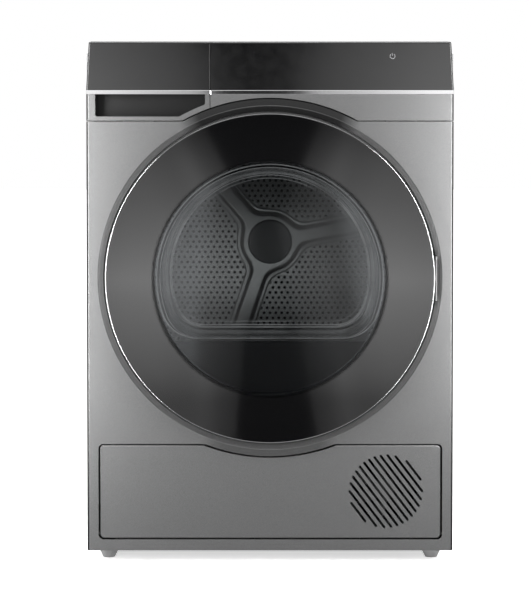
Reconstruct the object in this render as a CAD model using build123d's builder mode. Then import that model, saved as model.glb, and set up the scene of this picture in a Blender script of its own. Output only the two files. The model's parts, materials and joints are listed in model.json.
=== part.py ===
"""Front-loading heat-pump clothes dryer, 595 mm wide and 850 mm high.

Millimetres. +Z is up, the front faces -Y and +X is to the right of someone standing in front.
The origin is on the floor, under the middle of the whole machine.
"""

import os
from math import acos, cos, degrees, radians, sin, sqrt

from build123d import *

os.makedirs("parts", exist_ok=True)

# ---- driving dimensions: cabinet ----
WIDTH = 595.0
HEIGHT = 850.0
DEPTH = 640.0
HALF = WIDTH / 2
APEX_Y = -DEPTH / 2  # foremost point of the door glass
PANEL_Y = -280.0  # front face of the front panel
RIM_Y = -264.0  # where the front panel's edge returns end
BACK_Y = 294.0  # inner face of the rear panel
BULGE_Y = DEPTH / 2  # rearmost face of the duct cover
BODY_Z = 22.0  # underside of the cabinet
PANEL_TOP = 719.5
FASCIA_Z = 721.0
STRIP_Z = 763.5
GLASS_Z = 770.0
BAND_TOP = 848.0
WORKTOP_Z = 830.0
SPLIT_X = -97.5  # seam between the water drawer and the control band
SEAM = 1.0
SHEET = 1.5
WALL = 2.5
EDGE_R = 4.0
PANE = 3.5  # thickness of the black glass and of the bright bar
PANE_EDGE_R = 2.5
BAR_PROUD = 0.8
DRAFT = 4.5  # how far the band's outer sides lean in at the top
SCREW_HEIGHTS = (120.0, 430.0, 740.0)
SCREW_INSET = 10.0
INLET = (230.0, 90.0)
INLET_R = 11.0

# ---- driving dimensions: door ----
DOOR_Z = 466.0
DOOR_R = 265.5
DISH_R = 279.0  # outer edge of the sloping roll about the dish that the door sits in
ROLL_R = 270.5  # inner edge of the roll
ROLL_Y = -277.5
DISH_FLOOR_R = 270.0
FLOOR_Y = -268.0  # front face of the dish floor
COLLAR_R = 290.0  # ring of the front panel that cuts into the fascia and the flap
ARC_R = 292.0  # matching arc on the fascia, the water drawer and the flap
MOUTH_R = 200.0
WINDOW_R = 188.0
BOWL_FLAT_Z = 367.0
BOWL_Y = -165.0  # deepest face of the glass bowl
LINER_Y = -271.0  # rear face of the door
PIVOT = (267.5, -291.0)  # door hinge axis, in plan
HINGE_HALF = 29.0
KNUCKLE_R = 4.0
PIN_R = 2.4
EAR_Z = 33.0  # hinge ears, above and below the door's centre
NOTCH_HALF = 45.0  # half height of the notch for the hinge in the door's frame

# ---- driving dimensions: drum and drive ----
DRUM_Z = 505.0
DRUM_R = 283.0
DRUM_SKIN = 1.2
DRUM_FRONT_Y = -213.0
DRUM_REAR_Y = 252.0
DRUM_BACK_Y = 246.0  # front face of the drum's back
ARM_ANGLES = (11.0, 131.0, 251.0)
ROLLER_R = 25.0
ROLLER_ANGLE = 38.0
GAP = 0.4
MOTOR_X = 60.0
MOTOR_Z = 120.0
MOTOR_R = 52.0
PULLEY_R = 12.0
IDLER = (142.0, 150.0)
IDLER_R = 18.0
ARM_PIVOT = (105.0, 78.0)
BELT_Y = 54.0
BELT_WIDE = 12.0
BELT_THICK = 2.0
RUN_FIT = 0.05

# ---- driving dimensions: flap, water tank, feet ----
FLAP_LEFT = -277.0
FLAP_RIGHT = 278.0
FLAP_BOTTOM = 42.0
FLAP_TOP = 194.0
FLAP_GAP = 2.0
FLAP_CORNER_R = 7.0
FLAP_PIN = (-274.0, 49.0)  # y and z of the flap's hinge axis
FLAP_PIN_R = 2.5
FLAP_LUG = 5.0
VENT = (188.5, 118.8)
VENT_R = 60.0
VENT_SLOTS = 13
VENT_PITCH = 9.4
VENT_SLOT = 4.0
VENT_ANGLE = 52.7
LEVER = (-138.0, 121.0)  # axis of the service cover's lever
LEVER_PIN_R = 4.0
TANK_LEFT = -286.0
TANK_RIGHT = -108.0
TANK_BOTTOM = 742.0
TANK_TOP = 820.0
TANK_CLEAR_R = 295.0
TANK_FRONT_Y = -250.0
TANK_REAR_Y = 240.0
FOOT_X = 267.0
FOOT_FRONT_Y = -220.0
FOOT_REAR_Y = 250.0
STUD_R = 5.0

DOOR_AXIS = Axis((0, 0, DOOR_Z), (0, 1, 0))
DRUM_AXIS = Axis((0, 0, DRUM_Z), (0, 1, 0))


def facing(y):
    """Front-view sketch plane at y, with x to the right and z up; it extrudes towards the front."""
    return Plane.XZ.offset(-y)


def span(x0, x1, y0, y1, **options):
    """Rectangle between two corners."""
    with Locations(((x0 + x1) / 2, (y0 + y1) / 2)):
        Rectangle(x1 - x0, y1 - y0, **options)


def disc(centre, radius, **options):
    """Circle about a centre."""
    with Locations(centre):
        Circle(radius, **options)


def block(x0, x1, y0, y1, z0, z1, **options):
    """Box between two corners."""
    with Locations(((x0 + x1) / 2, (y0 + y1) / 2, (z0 + z1) / 2)):
        Box(x1 - x0, y1 - y0, z1 - z0, **options)


def rod(x, z, radius, y0, y1, **options):
    """Cylinder along Y."""
    with Locations((x, (y0 + y1) / 2, z)):
        Cylinder(radius, y1 - y0, rotation=(90, 0, 0), **options)


def post(x, y, radius, z0, z1, **options):
    """Cylinder along Z."""
    with Locations((x, y, (z0 + z1) / 2)):
        Cylinder(radius, z1 - z0, **options)


def upright_edge(part, x, y):
    """The vertical edge nearest a place in plan."""
    uprights = part.edges().filter_by(Axis.Z)
    return uprights.sort_by(lambda edge: abs(edge.center().X - x) + abs(edge.center().Y - y))[0]


def flap_outline(grow):
    """Flap outline, or its opening when grown: a rounded rectangle under the collar's arc."""
    with Locations(((FLAP_LEFT + FLAP_RIGHT) / 2, (FLAP_BOTTOM + FLAP_TOP) / 2)):
        RectangleRounded(
            FLAP_RIGHT - FLAP_LEFT + 2 * grow, FLAP_TOP - FLAP_BOTTOM + 2 * grow, FLAP_CORNER_R + grow / 2
        )
    disc((0, DOOR_Z), ARC_R - grow, mode=Mode.SUBTRACT)


def bowl_outline(radius, centre_z, flat_z):
    """A circle with a flat bottom, before its lower corners are rounded."""
    disc((0, centre_z), radius)
    span(-radius, radius, centre_z - radius, flat_z, mode=Mode.SUBTRACT)


def lean_in(side):
    """Cuts the wedge that draws the band's outer side in towards the top."""
    with BuildSketch(facing(RIM_Y + 1)) as wedge:
        with BuildLine():
            Polyline(
                (side * HALF, GLASS_Z),
                (side * (HALF - DRAFT), HEIGHT),
                (side * (HALF + 1), HEIGHT),
                (side * (HALF + 1), GLASS_Z),
                close=True,
            )
        make_face()
    extrude(wedge.sketch, amount=RIM_Y - PANEL_Y + 2, mode=Mode.SUBTRACT)


def lifter_slots(centre_r, deep, wide, corner_r):
    """Sections of the drum's lifters: three radial rectangles with rounded inner corners."""
    with BuildSketch(mode=Mode.PRIVATE) as rounded:
        with Locations((0, DRUM_Z)):
            with PolarLocations(centre_r, 3, 71):
                Rectangle(deep, wide)
        fillet(rounded.vertices().filter_by(lambda v: v.X**2 + (v.Y - DRUM_Z) ** 2 < 240**2), corner_r)
    return rounded.sketch


def tank_section(grow, top):
    """Cross-section of the water tank, hollowed from below to clear the drum."""
    span(TANK_LEFT - grow, TANK_RIGHT + grow, TANK_BOTTOM - grow, top)
    disc((0, DRUM_Z), TANK_CLEAR_R - grow, mode=Mode.SUBTRACT)


# ==== cabinet ====

# Front panel: a pressed sheet with side, top and bottom returns, a round dish for the door,
# a raised collar about the dish, and an opening for the flap with a hinge pin at each side.
with BuildPart() as front_panel:
    with BuildSketch(Plane.XY.offset(BODY_Z)) as panel_plan:
        span(-HALF, HALF, PANEL_Y, RIM_Y)
        fillet(panel_plan.vertices().group_by(Axis.Y)[0], EDGE_R)
    extrude(amount=PANEL_TOP - BODY_Z)
    with BuildSketch(Plane.XY.offset(BODY_Z + SHEET)) as panel_hollow:
        span(-HALF + SHEET, HALF - SHEET, PANEL_Y + SHEET, RIM_Y)
        fillet(panel_hollow.vertices().group_by(Axis.Y)[0], EDGE_R - SHEET)
    extrude(amount=PANEL_TOP - BODY_Z - 2 * SHEET, mode=Mode.SUBTRACT)
    with BuildSketch(facing(PANEL_Y + SHEET)):
        disc((0, DOOR_Z), COLLAR_R)
    extrude(amount=SHEET)
    with BuildSketch(facing(RIM_Y)):
        disc((0, DOOR_Z), DISH_R)
    extrude(amount=RIM_Y - PANEL_Y, mode=Mode.SUBTRACT)
    with BuildSketch(Plane.YZ):
        with BuildLine():
            Polyline(
                (PANEL_Y, DOOR_Z + DISH_R),
                (ROLL_Y, DOOR_Z + ROLL_R),
                (FLOOR_Y, DOOR_Z + DISH_FLOOR_R),
                (FLOOR_Y, DOOR_Z + MOUTH_R),
                (FLOOR_Y + SHEET, DOOR_Z + MOUTH_R),
                (FLOOR_Y + SHEET, DOOR_Z + DISH_FLOOR_R + SHEET),
                (ROLL_Y + SHEET, DOOR_Z + ROLL_R + SHEET),
                (PANEL_Y + SHEET, DOOR_Z + DISH_R + SHEET),
                (PANEL_Y, DOOR_Z + DISH_R + SHEET),
                close=True,
            )
        make_face()
    revolve(axis=DOOR_AXIS)
    with BuildSketch(facing(RIM_Y)) as flap_opening:
        flap_outline(FLAP_GAP)
        fillet(flap_opening.vertices().filter_by(lambda v: abs(v.X) < 130 and v.Y > FLAP_TOP), 8)
    extrude(amount=RIM_Y - PANEL_Y, mode=Mode.SUBTRACT)
    for ear_z in (DOOR_Z - EAR_Z, DOOR_Z + EAR_Z):
        block(259.6, PIVOT[0] + 2.5, PANEL_Y - 1, FLOOR_Y + 3, ear_z - 4, ear_z + 4, mode=Mode.SUBTRACT)
    block(-254, -240, FLOOR_Y - 1, FLOOR_Y + 3, DOOR_Z - 12, DOOR_Z + 12, mode=Mode.SUBTRACT)
    for edge, inward in ((FLAP_LEFT - FLAP_GAP, 1), (FLAP_RIGHT + FLAP_GAP, -1)):
        tab = sorted((edge, edge - inward * SHEET))
        pin_length = FLAP_GAP + WALL + FLAP_LUG
        block(*tab, PANEL_Y + SHEET / 2, FLAP_PIN[0] + 4, FLAP_PIN[1] - 5, FLAP_PIN[1] + 5)
        with Locations((edge + inward * (pin_length - SHEET) / 2, *FLAP_PIN)):
            Cylinder(FLAP_PIN_R, pin_length + SHEET, rotation=(0, 90, 0))

front_panel.part.label = "front_panel"
export_step(front_panel.part, "parts/front_panel.step")

# Side panels: flat sheets with a shallow pressed field and folded front and rear flanges.
for side, side_name in ((-1, "side_panel_left"), (1, "side_panel_right")):
    skin = sorted((side * HALF, side * (HALF - SHEET)))
    rear_flange = sorted((side * HALF, side * (HALF - 14)))
    front_flange = sorted((side * HALF, side * (HALF - 10)))
    pressed = sorted((side * (HALF - 0.8), side * (HALF + 1)))
    backing = sorted((side * (HALF - SHEET), side * (HALF - SHEET - 0.8)))
    with BuildPart() as side_panel:
        block(*skin, RIM_Y, BACK_Y, BODY_Z, WORKTOP_Z)
        block(*rear_flange, BACK_Y - SHEET, BACK_Y, BODY_Z, WORKTOP_Z)
        block(*front_flange, RIM_Y, RIM_Y + SHEET, BODY_Z, WORKTOP_Z)
        for low, high in ((90, 330), (370, 610)):
            block(*backing, -200, 230, low, high)
            block(*pressed, -198, 228, low + 2, high - 2, mode=Mode.SUBTRACT)
        for z in SCREW_HEIGHTS:
            rod(side * (HALF - SCREW_INSET), z, 1.9, BACK_Y - 3, BACK_Y + 1, mode=Mode.SUBTRACT)

    side_panel.part.label = side_name
    export_step(side_panel.part, f"parts/{side_name}.step")

# Rear panel: flat sheet with the fan outlet, the ring of drum air inlets and the cord hole.
with BuildPart() as rear_panel:
    block(-290, 290, BACK_Y, BACK_Y + 2, BODY_Z + 2, WORKTOP_Z - 2)
    rod(MOTOR_X, MOTOR_Z, 70, BACK_Y - 1, BACK_Y + 3, mode=Mode.SUBTRACT)
    with BuildSketch(facing(BACK_Y + 3)):
        with Locations((0, DRUM_Z)):
            with PolarLocations(150, 8):
                Circle(34)
    extrude(amount=4, mode=Mode.SUBTRACT)
    rod(*INLET, INLET_R + RUN_FIT, BACK_Y - 1, BACK_Y + 3, mode=Mode.SUBTRACT)
    for x in (SCREW_INSET - HALF, HALF - SCREW_INSET):
        for z in SCREW_HEIGHTS:
            rod(x, z, 1.9, BACK_Y - 1, BACK_Y + 3, mode=Mode.SUBTRACT)

rear_panel.part.label = "rear_panel"
export_step(rear_panel.part, "parts/rear_panel.step")

# Panel screws: six pan-head screws, through the rear panel into the side flanges.
with BuildPart() as panel_screws:
    for x in (SCREW_INSET - HALF, HALF - SCREW_INSET):
        for z in SCREW_HEIGHTS:
            rod(x, z, 1.8, BACK_Y - 5, BACK_Y + 2)
            rod(x, z, 4, BACK_Y + 2, BACK_Y + 4.4)
            rod(x, z, 1.2, BACK_Y + 3.4, BACK_Y + 5, mode=Mode.SUBTRACT)

panel_screws.part.label = "panel_screws"
export_step(panel_screws.part, "parts/panel_screws.step")

# Rear duct cover: a pressed hood that leads air from the fan up to the back of the drum.
with BuildPart() as rear_duct_cover:
    with BuildSketch(facing(BACK_Y + 2 + SHEET)):
        disc((0, DRUM_Z), 228)
        disc((MOTOR_X, MOTOR_Z), 92)
        make_hull()
    extrude(amount=SHEET)
    with BuildSketch(facing(BULGE_Y)):
        disc((0, DRUM_Z), 214)
        disc((MOTOR_X, MOTOR_Z), 80)
        make_hull()
    extrude(amount=BULGE_Y - BACK_Y - 2)
    fillet(rear_duct_cover.faces().sort_by(Axis.Y)[-1].edges(), 9)
    with BuildSketch(facing(BULGE_Y - SHEET)):
        disc((0, DRUM_Z), 204)
        disc((MOTOR_X, MOTOR_Z), 70)
        make_hull()
    extrude(amount=BULGE_Y - SHEET - BACK_Y - 2, mode=Mode.SUBTRACT)

rear_duct_cover.part.label = "rear_duct_cover"
export_step(rear_duct_cover.part, "parts/rear_duct_cover.step")

# Worktop: a laminated board with eased edges, which stops behind the control band.
with BuildPart() as worktop:
    block(DRAFT - HALF, HALF - DRAFT, RIM_Y, BACK_Y + 2, WORKTOP_Z, HEIGHT)
    fillet(worktop.edges().filter_by(Axis.Z), EDGE_R)
    fillet(worktop.faces().sort_by(Axis.Z)[-1].edges(), 2)

worktop.part.label = "worktop"
export_step(worktop.part, "parts/worktop.step")

# Control fascia: a hollow moulding that carries the glass, cut by the collar's arc.
with BuildPart() as control_fascia:
    block(SPLIT_X + SEAM, HALF, PANEL_Y, RIM_Y, FASCIA_Z, BAND_TOP)
    fillet(upright_edge(control_fascia.part, HALF, PANEL_Y), EDGE_R)
    block(SPLIT_X + SEAM, HALF, PANEL_Y - 1, PANEL_Y + PANE, STRIP_Z, BAND_TOP, mode=Mode.SUBTRACT)
    left = SPLIT_X + SEAM + WALL
    right = HALF - DRAFT - WALL
    block(left, right, PANEL_Y + WALL, RIM_Y, FASCIA_Z + WALL, STRIP_Z, mode=Mode.SUBTRACT)
    block(left, right, PANEL_Y + PANE + WALL, RIM_Y, STRIP_Z, BAND_TOP - WALL, mode=Mode.SUBTRACT)
    rod(0, DOOR_Z, ARC_R, PANEL_Y - 1, RIM_Y + 1, mode=Mode.SUBTRACT)
    lean_in(1)

control_fascia.part.label = "control_fascia"
export_step(control_fascia.part, "parts/control_fascia.step")

# Control glass: the right-hand pane of the black band, with a rounded outer top corner.
with BuildPart() as control_glass:
    block(SPLIT_X + SEAM, HALF, PANEL_Y, PANEL_Y + PANE, GLASS_Z, BAND_TOP)
    lean_in(1)
    fillet(control_glass.edges().filter_by(Axis.Y).sort_by_distance((HALF, PANEL_Y, BAND_TOP))[0], 3)
    fillet(control_glass.edges().sort_by_distance((HALF, PANEL_Y - 1, WORKTOP_Z - 20))[0], PANE_EDGE_R)

control_glass.part.label = "control_glass"
export_step(control_glass.part, "parts/control_glass.step")

# Trim strip: the bright bar under the control glass.
with BuildPart() as trim_strip:
    block(SPLIT_X + SEAM, HALF, PANEL_Y, PANEL_Y + PANE, STRIP_Z, GLASS_Z)
    fillet(upright_edge(trim_strip.part, HALF, PANEL_Y), PANE_EDGE_R)
    block(SPLIT_X + SEAM, HALF - EDGE_R, PANEL_Y - BAR_PROUD, PANEL_Y, STRIP_Z + 0.5, GLASS_Z - 0.5)

trim_strip.part.label = "trim_strip"
export_step(trim_strip.part, "parts/trim_strip.step")

# Control board: touch electronics that clip to the back of the fascia.
with BuildPart() as control_board:
    block(-60, 270, PANEL_Y + 6, PANEL_Y + 7.6, 782, 836)
    with Locations((-20, PANEL_Y + 10.1, 809), (60, PANEL_Y + 10.1, 809), (200, PANEL_Y + 10.1, 809)):
        Box(36, 5, 24)

control_board.part.label = "control_board"
export_step(control_board.part, "parts/control_board.step")

# Base tray: the moulded floor with two low side walls and threaded bosses for the front feet.
with BuildPart() as base_tray:
    block(-290, 290, RIM_Y + 2, BACK_Y - 4, BODY_Z, BODY_Z + 8)
    for side in (-1, 1):
        wall = sorted((side * 290, side * 287))
        block(*wall, RIM_Y + 2, BACK_Y - 4, BODY_Z + 8, BODY_Z + 48)
        post(side * FOOT_X, FOOT_FRONT_Y, 12, BODY_Z + 8, BODY_Z + 23)
        post(side * FOOT_X, FOOT_FRONT_Y, STUD_R + RUN_FIT, BODY_Z, BODY_Z + 23, mode=Mode.SUBTRACT)

base_tray.part.label = "base_tray"
export_step(base_tray.part, "parts/base_tray.step")

# Rear feet: two plain pads under the back of the tray.
with BuildPart() as rear_feet:
    for side in (-1, 1):
        with BuildSketch(Plane.XY):
            disc((side * FOOT_X, FOOT_REAR_Y), 11)
        extrude(amount=BODY_Z, taper=-20)

rear_feet.part.label = "rear_feet"
export_step(rear_feet.part, "parts/rear_feet.step")

# Front feet: cones on threaded studs that screw into the tray.
for side, foot_name in ((-1, "foot_left"), (1, "foot_right")):
    with BuildPart() as foot:
        with BuildSketch(Plane.XY):
            disc((side * FOOT_X, FOOT_FRONT_Y), 10)
        extrude(amount=BODY_Z - 1, taper=-24)
        post(side * FOOT_X, FOOT_FRONT_Y, STUD_R, BODY_Z - 1, BODY_Z + 30)
        with Locations((side * FOOT_X, FOOT_FRONT_Y, 2)):
            Box(30, 5, 4, mode=Mode.SUBTRACT)

    foot.part.label = foot_name
    export_step(foot.part, f"parts/{foot_name}.step")

# Cord inlet: a bushed gland for the mains lead, low on the rear panel.
with BuildPart() as cord_inlet:
    rod(*INLET, INLET_R, BACK_Y - 8, BACK_Y + 2)
    rod(*INLET, INLET_R + 4, BACK_Y + 2, BACK_Y + 8)
    rod(*INLET, 4, BACK_Y - 9, BACK_Y + 9, mode=Mode.SUBTRACT)

cord_inlet.part.label = "cord_inlet"
export_step(cord_inlet.part, "parts/cord_inlet.step")

# ==== drum support ====

roller_reach = DRUM_R + ROLLER_R + GAP
roller_x = roller_reach * sin(radians(ROLLER_ANGLE))
roller_z = DRUM_Z - roller_reach * cos(radians(ROLLER_ANGLE))

# Bearing shield: the plate that closes the drum's front, with the mouth's collar and two roller pins.
with BuildPart() as bearing_shield:
    with BuildSketch(facing(DRUM_FRONT_Y - 8)):
        disc((0, DRUM_Z), DRUM_R + 6)
        for x in (-roller_x, roller_x):
            disc((x, roller_z), 26)
    extrude(amount=3)
    rod(0, DOOR_Z, MOUTH_R + 3, FLOOR_Y + SHEET, DRUM_FRONT_Y - 8)
    rod(0, DOOR_Z, MOUTH_R, FLOOR_Y + SHEET, DRUM_FRONT_Y - 8, mode=Mode.SUBTRACT)
    block(-101, 101, -258, -230, 240, 320, mode=Mode.SUBTRACT)
    for x in (-roller_x, roller_x):
        rod(x, roller_z, 5, DRUM_FRONT_Y - 8, DRUM_FRONT_Y + 26)

bearing_shield.part.label = "bearing_shield"
export_step(bearing_shield.part, "parts/bearing_shield.step")

# Drum rollers: rubber-tyred wheels under the front of the drum.
for side, roller_name in ((-1, "roller_left"), (1, "roller_right")):
    with BuildPart() as roller:
        rod(side * roller_x, roller_z, ROLLER_R, DRUM_FRONT_Y + 6, DRUM_FRONT_Y + 22)
        chamfer(roller.edges().filter_by(GeomType.CIRCLE), 1)
        rod(side * roller_x, roller_z, 5 + RUN_FIT, DRUM_FRONT_Y, DRUM_FRONT_Y + 30, mode=Mode.SUBTRACT)

    roller.part.label = roller_name
    export_step(roller.part, f"parts/{roller_name}.step")

# Drum felts: the sliding seals between the drum's rims and the shield and rear panel.
with BuildPart() as drum_felts:
    rod(0, DRUM_Z, DRUM_R + 5, DRUM_FRONT_Y - 8, DRUM_FRONT_Y - GAP)
    rod(0, DRUM_Z, DRUM_R - 9, DRUM_FRONT_Y - 8, DRUM_FRONT_Y, mode=Mode.SUBTRACT)
    rod(0, DRUM_Z, DRUM_R + 4, DRUM_REAR_Y + GAP, BACK_Y - SHEET)
    rod(0, DRUM_Z, DRUM_R - 9, DRUM_REAR_Y, BACK_Y - SHEET, mode=Mode.SUBTRACT)

drum_felts.part.label = "drum_felts"
export_step(drum_felts.part, "parts/drum_felts.step")

# Rear bearing: the bushed cup on the rear panel that holds the drum shaft.
with BuildPart() as rear_bearing:
    rod(0, DRUM_Z, 24, BACK_Y - 24, BACK_Y)
    rod(0, DRUM_Z, 60, BACK_Y - 4, BACK_Y)
    rod(0, DRUM_Z, 10 + RUN_FIT, BACK_Y - 24, BACK_Y, mode=Mode.SUBTRACT)

rear_bearing.part.label = "rear_bearing"
export_step(rear_bearing.part, "parts/rear_bearing.step")

# Lint filter: an open-topped frame with windows, which drops into the slot in the mouth's collar.
with BuildPart() as lint_filter:
    block(-98, 98, -256, -232, 212, 270)
    block(-95.5, 95.5, -253.5, -234.5, 214.5, 271, mode=Mode.SUBTRACT)
    for x in (-62, 0, 62):
        block(x - 27, x + 27, -258, -230, 220, 256, mode=Mode.SUBTRACT)

lint_filter.part.label = "lint_filter"
export_step(lint_filter.part, "parts/lint_filter.step")

# ==== drum ====

# Drum shell: a rolled steel cylinder with an in-turned front rim.
with BuildPart() as drum_shell:
    rod(0, DRUM_Z, DRUM_R, DRUM_FRONT_Y, DRUM_REAR_Y)
    rod(0, DRUM_Z, DRUM_R - DRUM_SKIN, DRUM_FRONT_Y + DRUM_SKIN, DRUM_REAR_Y, mode=Mode.SUBTRACT)
    rod(0, DRUM_Z, DRUM_R - 11, DRUM_FRONT_Y, DRUM_REAR_Y, mode=Mode.SUBTRACT)

drum_shell.part.label = "drum_shell"
export_step(drum_shell.part, "parts/drum_shell.step")

# Drum back: a pressed disc with three raised arms and a raised boss ring about the hub.
with BuildPart() as drum_back:
    rod(0, DRUM_Z, DRUM_R - DRUM_SKIN, DRUM_BACK_Y, DRUM_BACK_Y + 2)
    with BuildSketch(facing(DRUM_BACK_Y)):
        disc((0, DRUM_Z), 56)
        with Locations((0, DRUM_Z)):
            for angle in ARM_ANGLES:
                with PolarLocations(148, 1, angle):
                    SlotOverall(240, 30)
    extrude(amount=5, taper=20)
    rod(0, DRUM_Z, 12, DRUM_BACK_Y - 6, DRUM_BACK_Y + 3, mode=Mode.SUBTRACT)

drum_back.part.label = "drum_back"
export_step(drum_back.part, "parts/drum_back.step")

# Hub cover: the domed cap over the shaft's fixing.
with BuildPart() as hub_cover:
    rod(0, DRUM_Z, 42, DRUM_BACK_Y - 12, DRUM_BACK_Y - 5)
    fillet(hub_cover.edges().sort_by(Axis.Y)[0], 5)

hub_cover.part.label = "hub_cover"
export_step(hub_cover.part, "parts/hub_cover.step")

# Lifters: three rounded hollow paddles along the drum wall.
lifter_length = DRUM_BACK_Y - 12 - DRUM_FRONT_Y - 40
with BuildPart() as drum_lifters:
    with BuildSketch(facing(DRUM_BACK_Y - 12)):
        add(lifter_slots(DRUM_R - 28, 54, 46, 20))
        disc((0, DRUM_Z), DRUM_R - DRUM_SKIN, mode=Mode.INTERSECT)
    extrude(amount=lifter_length)
    with BuildSketch(facing(DRUM_BACK_Y - 12 - WALL)):
        add(lifter_slots(DRUM_R - 22, 60, 40, 17))
    extrude(amount=lifter_length - 2 * WALL, mode=Mode.SUBTRACT)

drum_lifters.part.label = "drum_lifters"
export_step(drum_lifters.part, "parts/drum_lifters.step")

# Drum shaft: the stub axle and its flange on the back of the drum.
with BuildPart() as drum_shaft:
    rod(0, DRUM_Z, 50, DRUM_BACK_Y + 2, DRUM_BACK_Y + 7)
    rod(0, DRUM_Z, 10, DRUM_BACK_Y - 5, BACK_Y - 1)

drum_shaft.part.label = "drum_shaft"
export_step(drum_shaft.part, "parts/drum_shaft.step")

# ==== door ====

# Door frame: the round black rim that holds the glass, notched at the hinge.
with BuildPart() as door_frame:
    with BuildSketch(Plane.YZ):
        with BuildLine():
            Polyline(
                (-299, DOOR_Z + 240),
                (-299, DOOR_Z + DOOR_R),
                (-284, DOOR_Z + DOOR_R),
                (LINER_Y, DOOR_Z + 258),
                (LINER_Y, DOOR_Z + 253),
                (-286, DOOR_Z + 263),
                (-295, DOOR_Z + 263),
                (-295, DOOR_Z + 240),
                close=True,
            )
        make_face()
    revolve(axis=DOOR_AXIS)
    for left, right, front in ((240, 262, -295), (262, 280, -297)):
        block(left, right, front, LINER_Y + 1, DOOR_Z - NOTCH_HALF, DOOR_Z + NOTCH_HALF, mode=Mode.SUBTRACT)

door_frame.part.label = "door_frame"
export_step(door_frame.part, "parts/door_frame.step")

# Door trim ring: the thin bright edge about the glass.
with BuildPart() as door_trim_ring:
    rod(0, DOOR_Z, DOOR_R, -304, -299)
    fillet(door_trim_ring.edges().sort_by(Axis.Y)[0], 0.8)
    rod(0, DOOR_Z, DOOR_R - 1.5, -305, -298, mode=Mode.SUBTRACT)

door_trim_ring.part.label = "door_trim_ring"
export_step(door_trim_ring.part, "parts/door_trim_ring.step")

# Door glass: a shallow tinted dome of even thickness.
glass_r = DOOR_R - 1.6
glass_edge_y = -303.0
glass_thick = 4.0
glass_rise = glass_edge_y - APEX_Y
dome_r = (glass_r**2 + glass_rise**2) / (2 * glass_rise)
half_way_y = APEX_Y + dome_r - sqrt(dome_r**2 - (glass_r / 2) ** 2)
with BuildPart() as door_glass:
    with BuildSketch(Plane.YZ):
        with BuildLine():
            outer = ThreePointArc(
                (glass_edge_y, DOOR_Z + glass_r), (half_way_y, DOOR_Z + glass_r / 2), (APEX_Y, DOOR_Z)
            )
            Line(outer @ 1, (APEX_Y + glass_thick, DOOR_Z))
            inner = ThreePointArc(
                (APEX_Y + glass_thick, DOOR_Z),
                (half_way_y + glass_thick, DOOR_Z + glass_r / 2),
                (glass_edge_y + glass_thick, DOOR_Z + glass_r),
            )
            Line(inner @ 1, outer @ 0)
        make_face()
    revolve(axis=DOOR_AXIS)

door_glass.part.label = "door_glass"
export_step(door_glass.part, "parts/door_glass.step")

# Door liner: the rear moulding, with the round sight tube and the cover below the bowl.
with BuildPart() as door_liner:
    rod(0, DOOR_Z, 252.5, LINER_Y - 4, LINER_Y)
    rod(0, DOOR_Z, WINDOW_R + 12, LINER_Y - 8, LINER_Y - 4)
    rod(0, DOOR_Z, WINDOW_R + 3, -296, LINER_Y - 8)
    rod(0, DOOR_Z, WINDOW_R, -297, LINER_Y - 4, mode=Mode.SUBTRACT)
    rod(0, DOOR_Z, 196, LINER_Y - 4, LINER_Y + 1, mode=Mode.SUBTRACT)
    with BuildSketch(facing(LINER_Y - 4)):
        disc((0, DOOR_Z), WINDOW_R + 1)
        span(-200, 200, BOWL_FLAT_Z - 4, DOOR_Z + 200, mode=Mode.SUBTRACT)
    extrude(amount=4)
    block(246, 260, LINER_Y - 5, LINER_Y + 1, DOOR_Z - NOTCH_HALF, DOOR_Z + NOTCH_HALF, mode=Mode.SUBTRACT)

door_liner.part.label = "door_liner"
export_step(door_liner.part, "parts/door_liner.step")

# Door bowl: the clear glass dish that keeps clothes off the door, with a flat underside.
with BuildPart() as door_bowl:
    with BuildSketch(facing(LINER_Y)):
        disc((0, DOOR_Z), 195.5)
    extrude(amount=4)
    with BuildSketch(facing(LINER_Y - 4)) as bowl_rim:
        bowl_outline(185, DOOR_Z, BOWL_FLAT_Z)
        fillet(bowl_rim.vertices().sort_by(Axis.Y)[:2], 57)
    with BuildSketch(facing(BOWL_Y)) as bowl_end:
        bowl_outline(168, DOOR_Z + 3, BOWL_FLAT_Z + 16)
        fillet(bowl_end.vertices().sort_by(Axis.Y)[:2], 50)
    loft()
    with BuildSketch(facing(LINER_Y - 4)) as hollow_rim:
        bowl_outline(181, DOOR_Z, BOWL_FLAT_Z + 4)
        fillet(hollow_rim.vertices().sort_by(Axis.Y)[:2], 53)
    with BuildSketch(facing(BOWL_Y - 4)) as hollow_end:
        bowl_outline(164.6, DOOR_Z + 3, BOWL_FLAT_Z + 19.4)
        fillet(hollow_end.vertices().sort_by(Axis.Y)[:2], 46.6)
    loft(mode=Mode.SUBTRACT)

door_bowl.part.label = "door_bowl"
export_step(door_bowl.part, "parts/door_bowl.step")

# Door seal: a soft ring that closes on the dish floor about the mouth.
with BuildPart() as door_seal:
    rod(0, DOOR_Z, 214, LINER_Y, FLOOR_Y - GAP)
    fillet(door_seal.edges().sort_by(Axis.Y)[-1], 1)
    rod(0, DOOR_Z, 204, LINER_Y - 1, FLOOR_Y, mode=Mode.SUBTRACT)

door_seal.part.label = "door_seal"
export_step(door_seal.part, "parts/door_seal.step")

# Door hinge leaf: a plate behind the frame's ledge that ends in the hinge knuckle.
with BuildPart() as door_hinge_leaf:
    block(242, 262, -295, -292, DOOR_Z - HINGE_HALF, DOOR_Z + HINGE_HALF)
    block(262, PIVOT[0], -294, -290, DOOR_Z - HINGE_HALF, DOOR_Z + HINGE_HALF)
    post(*PIVOT, KNUCKLE_R, DOOR_Z - HINGE_HALF, DOOR_Z + HINGE_HALF)
    post(*PIVOT, PIN_R + RUN_FIT, DOOR_Z - HINGE_HALF - 1, DOOR_Z + HINGE_HALF + 1, mode=Mode.SUBTRACT)

door_hinge_leaf.part.label = "door_hinge_leaf"
export_step(door_hinge_leaf.part, "parts/door_hinge_leaf.step")

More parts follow.
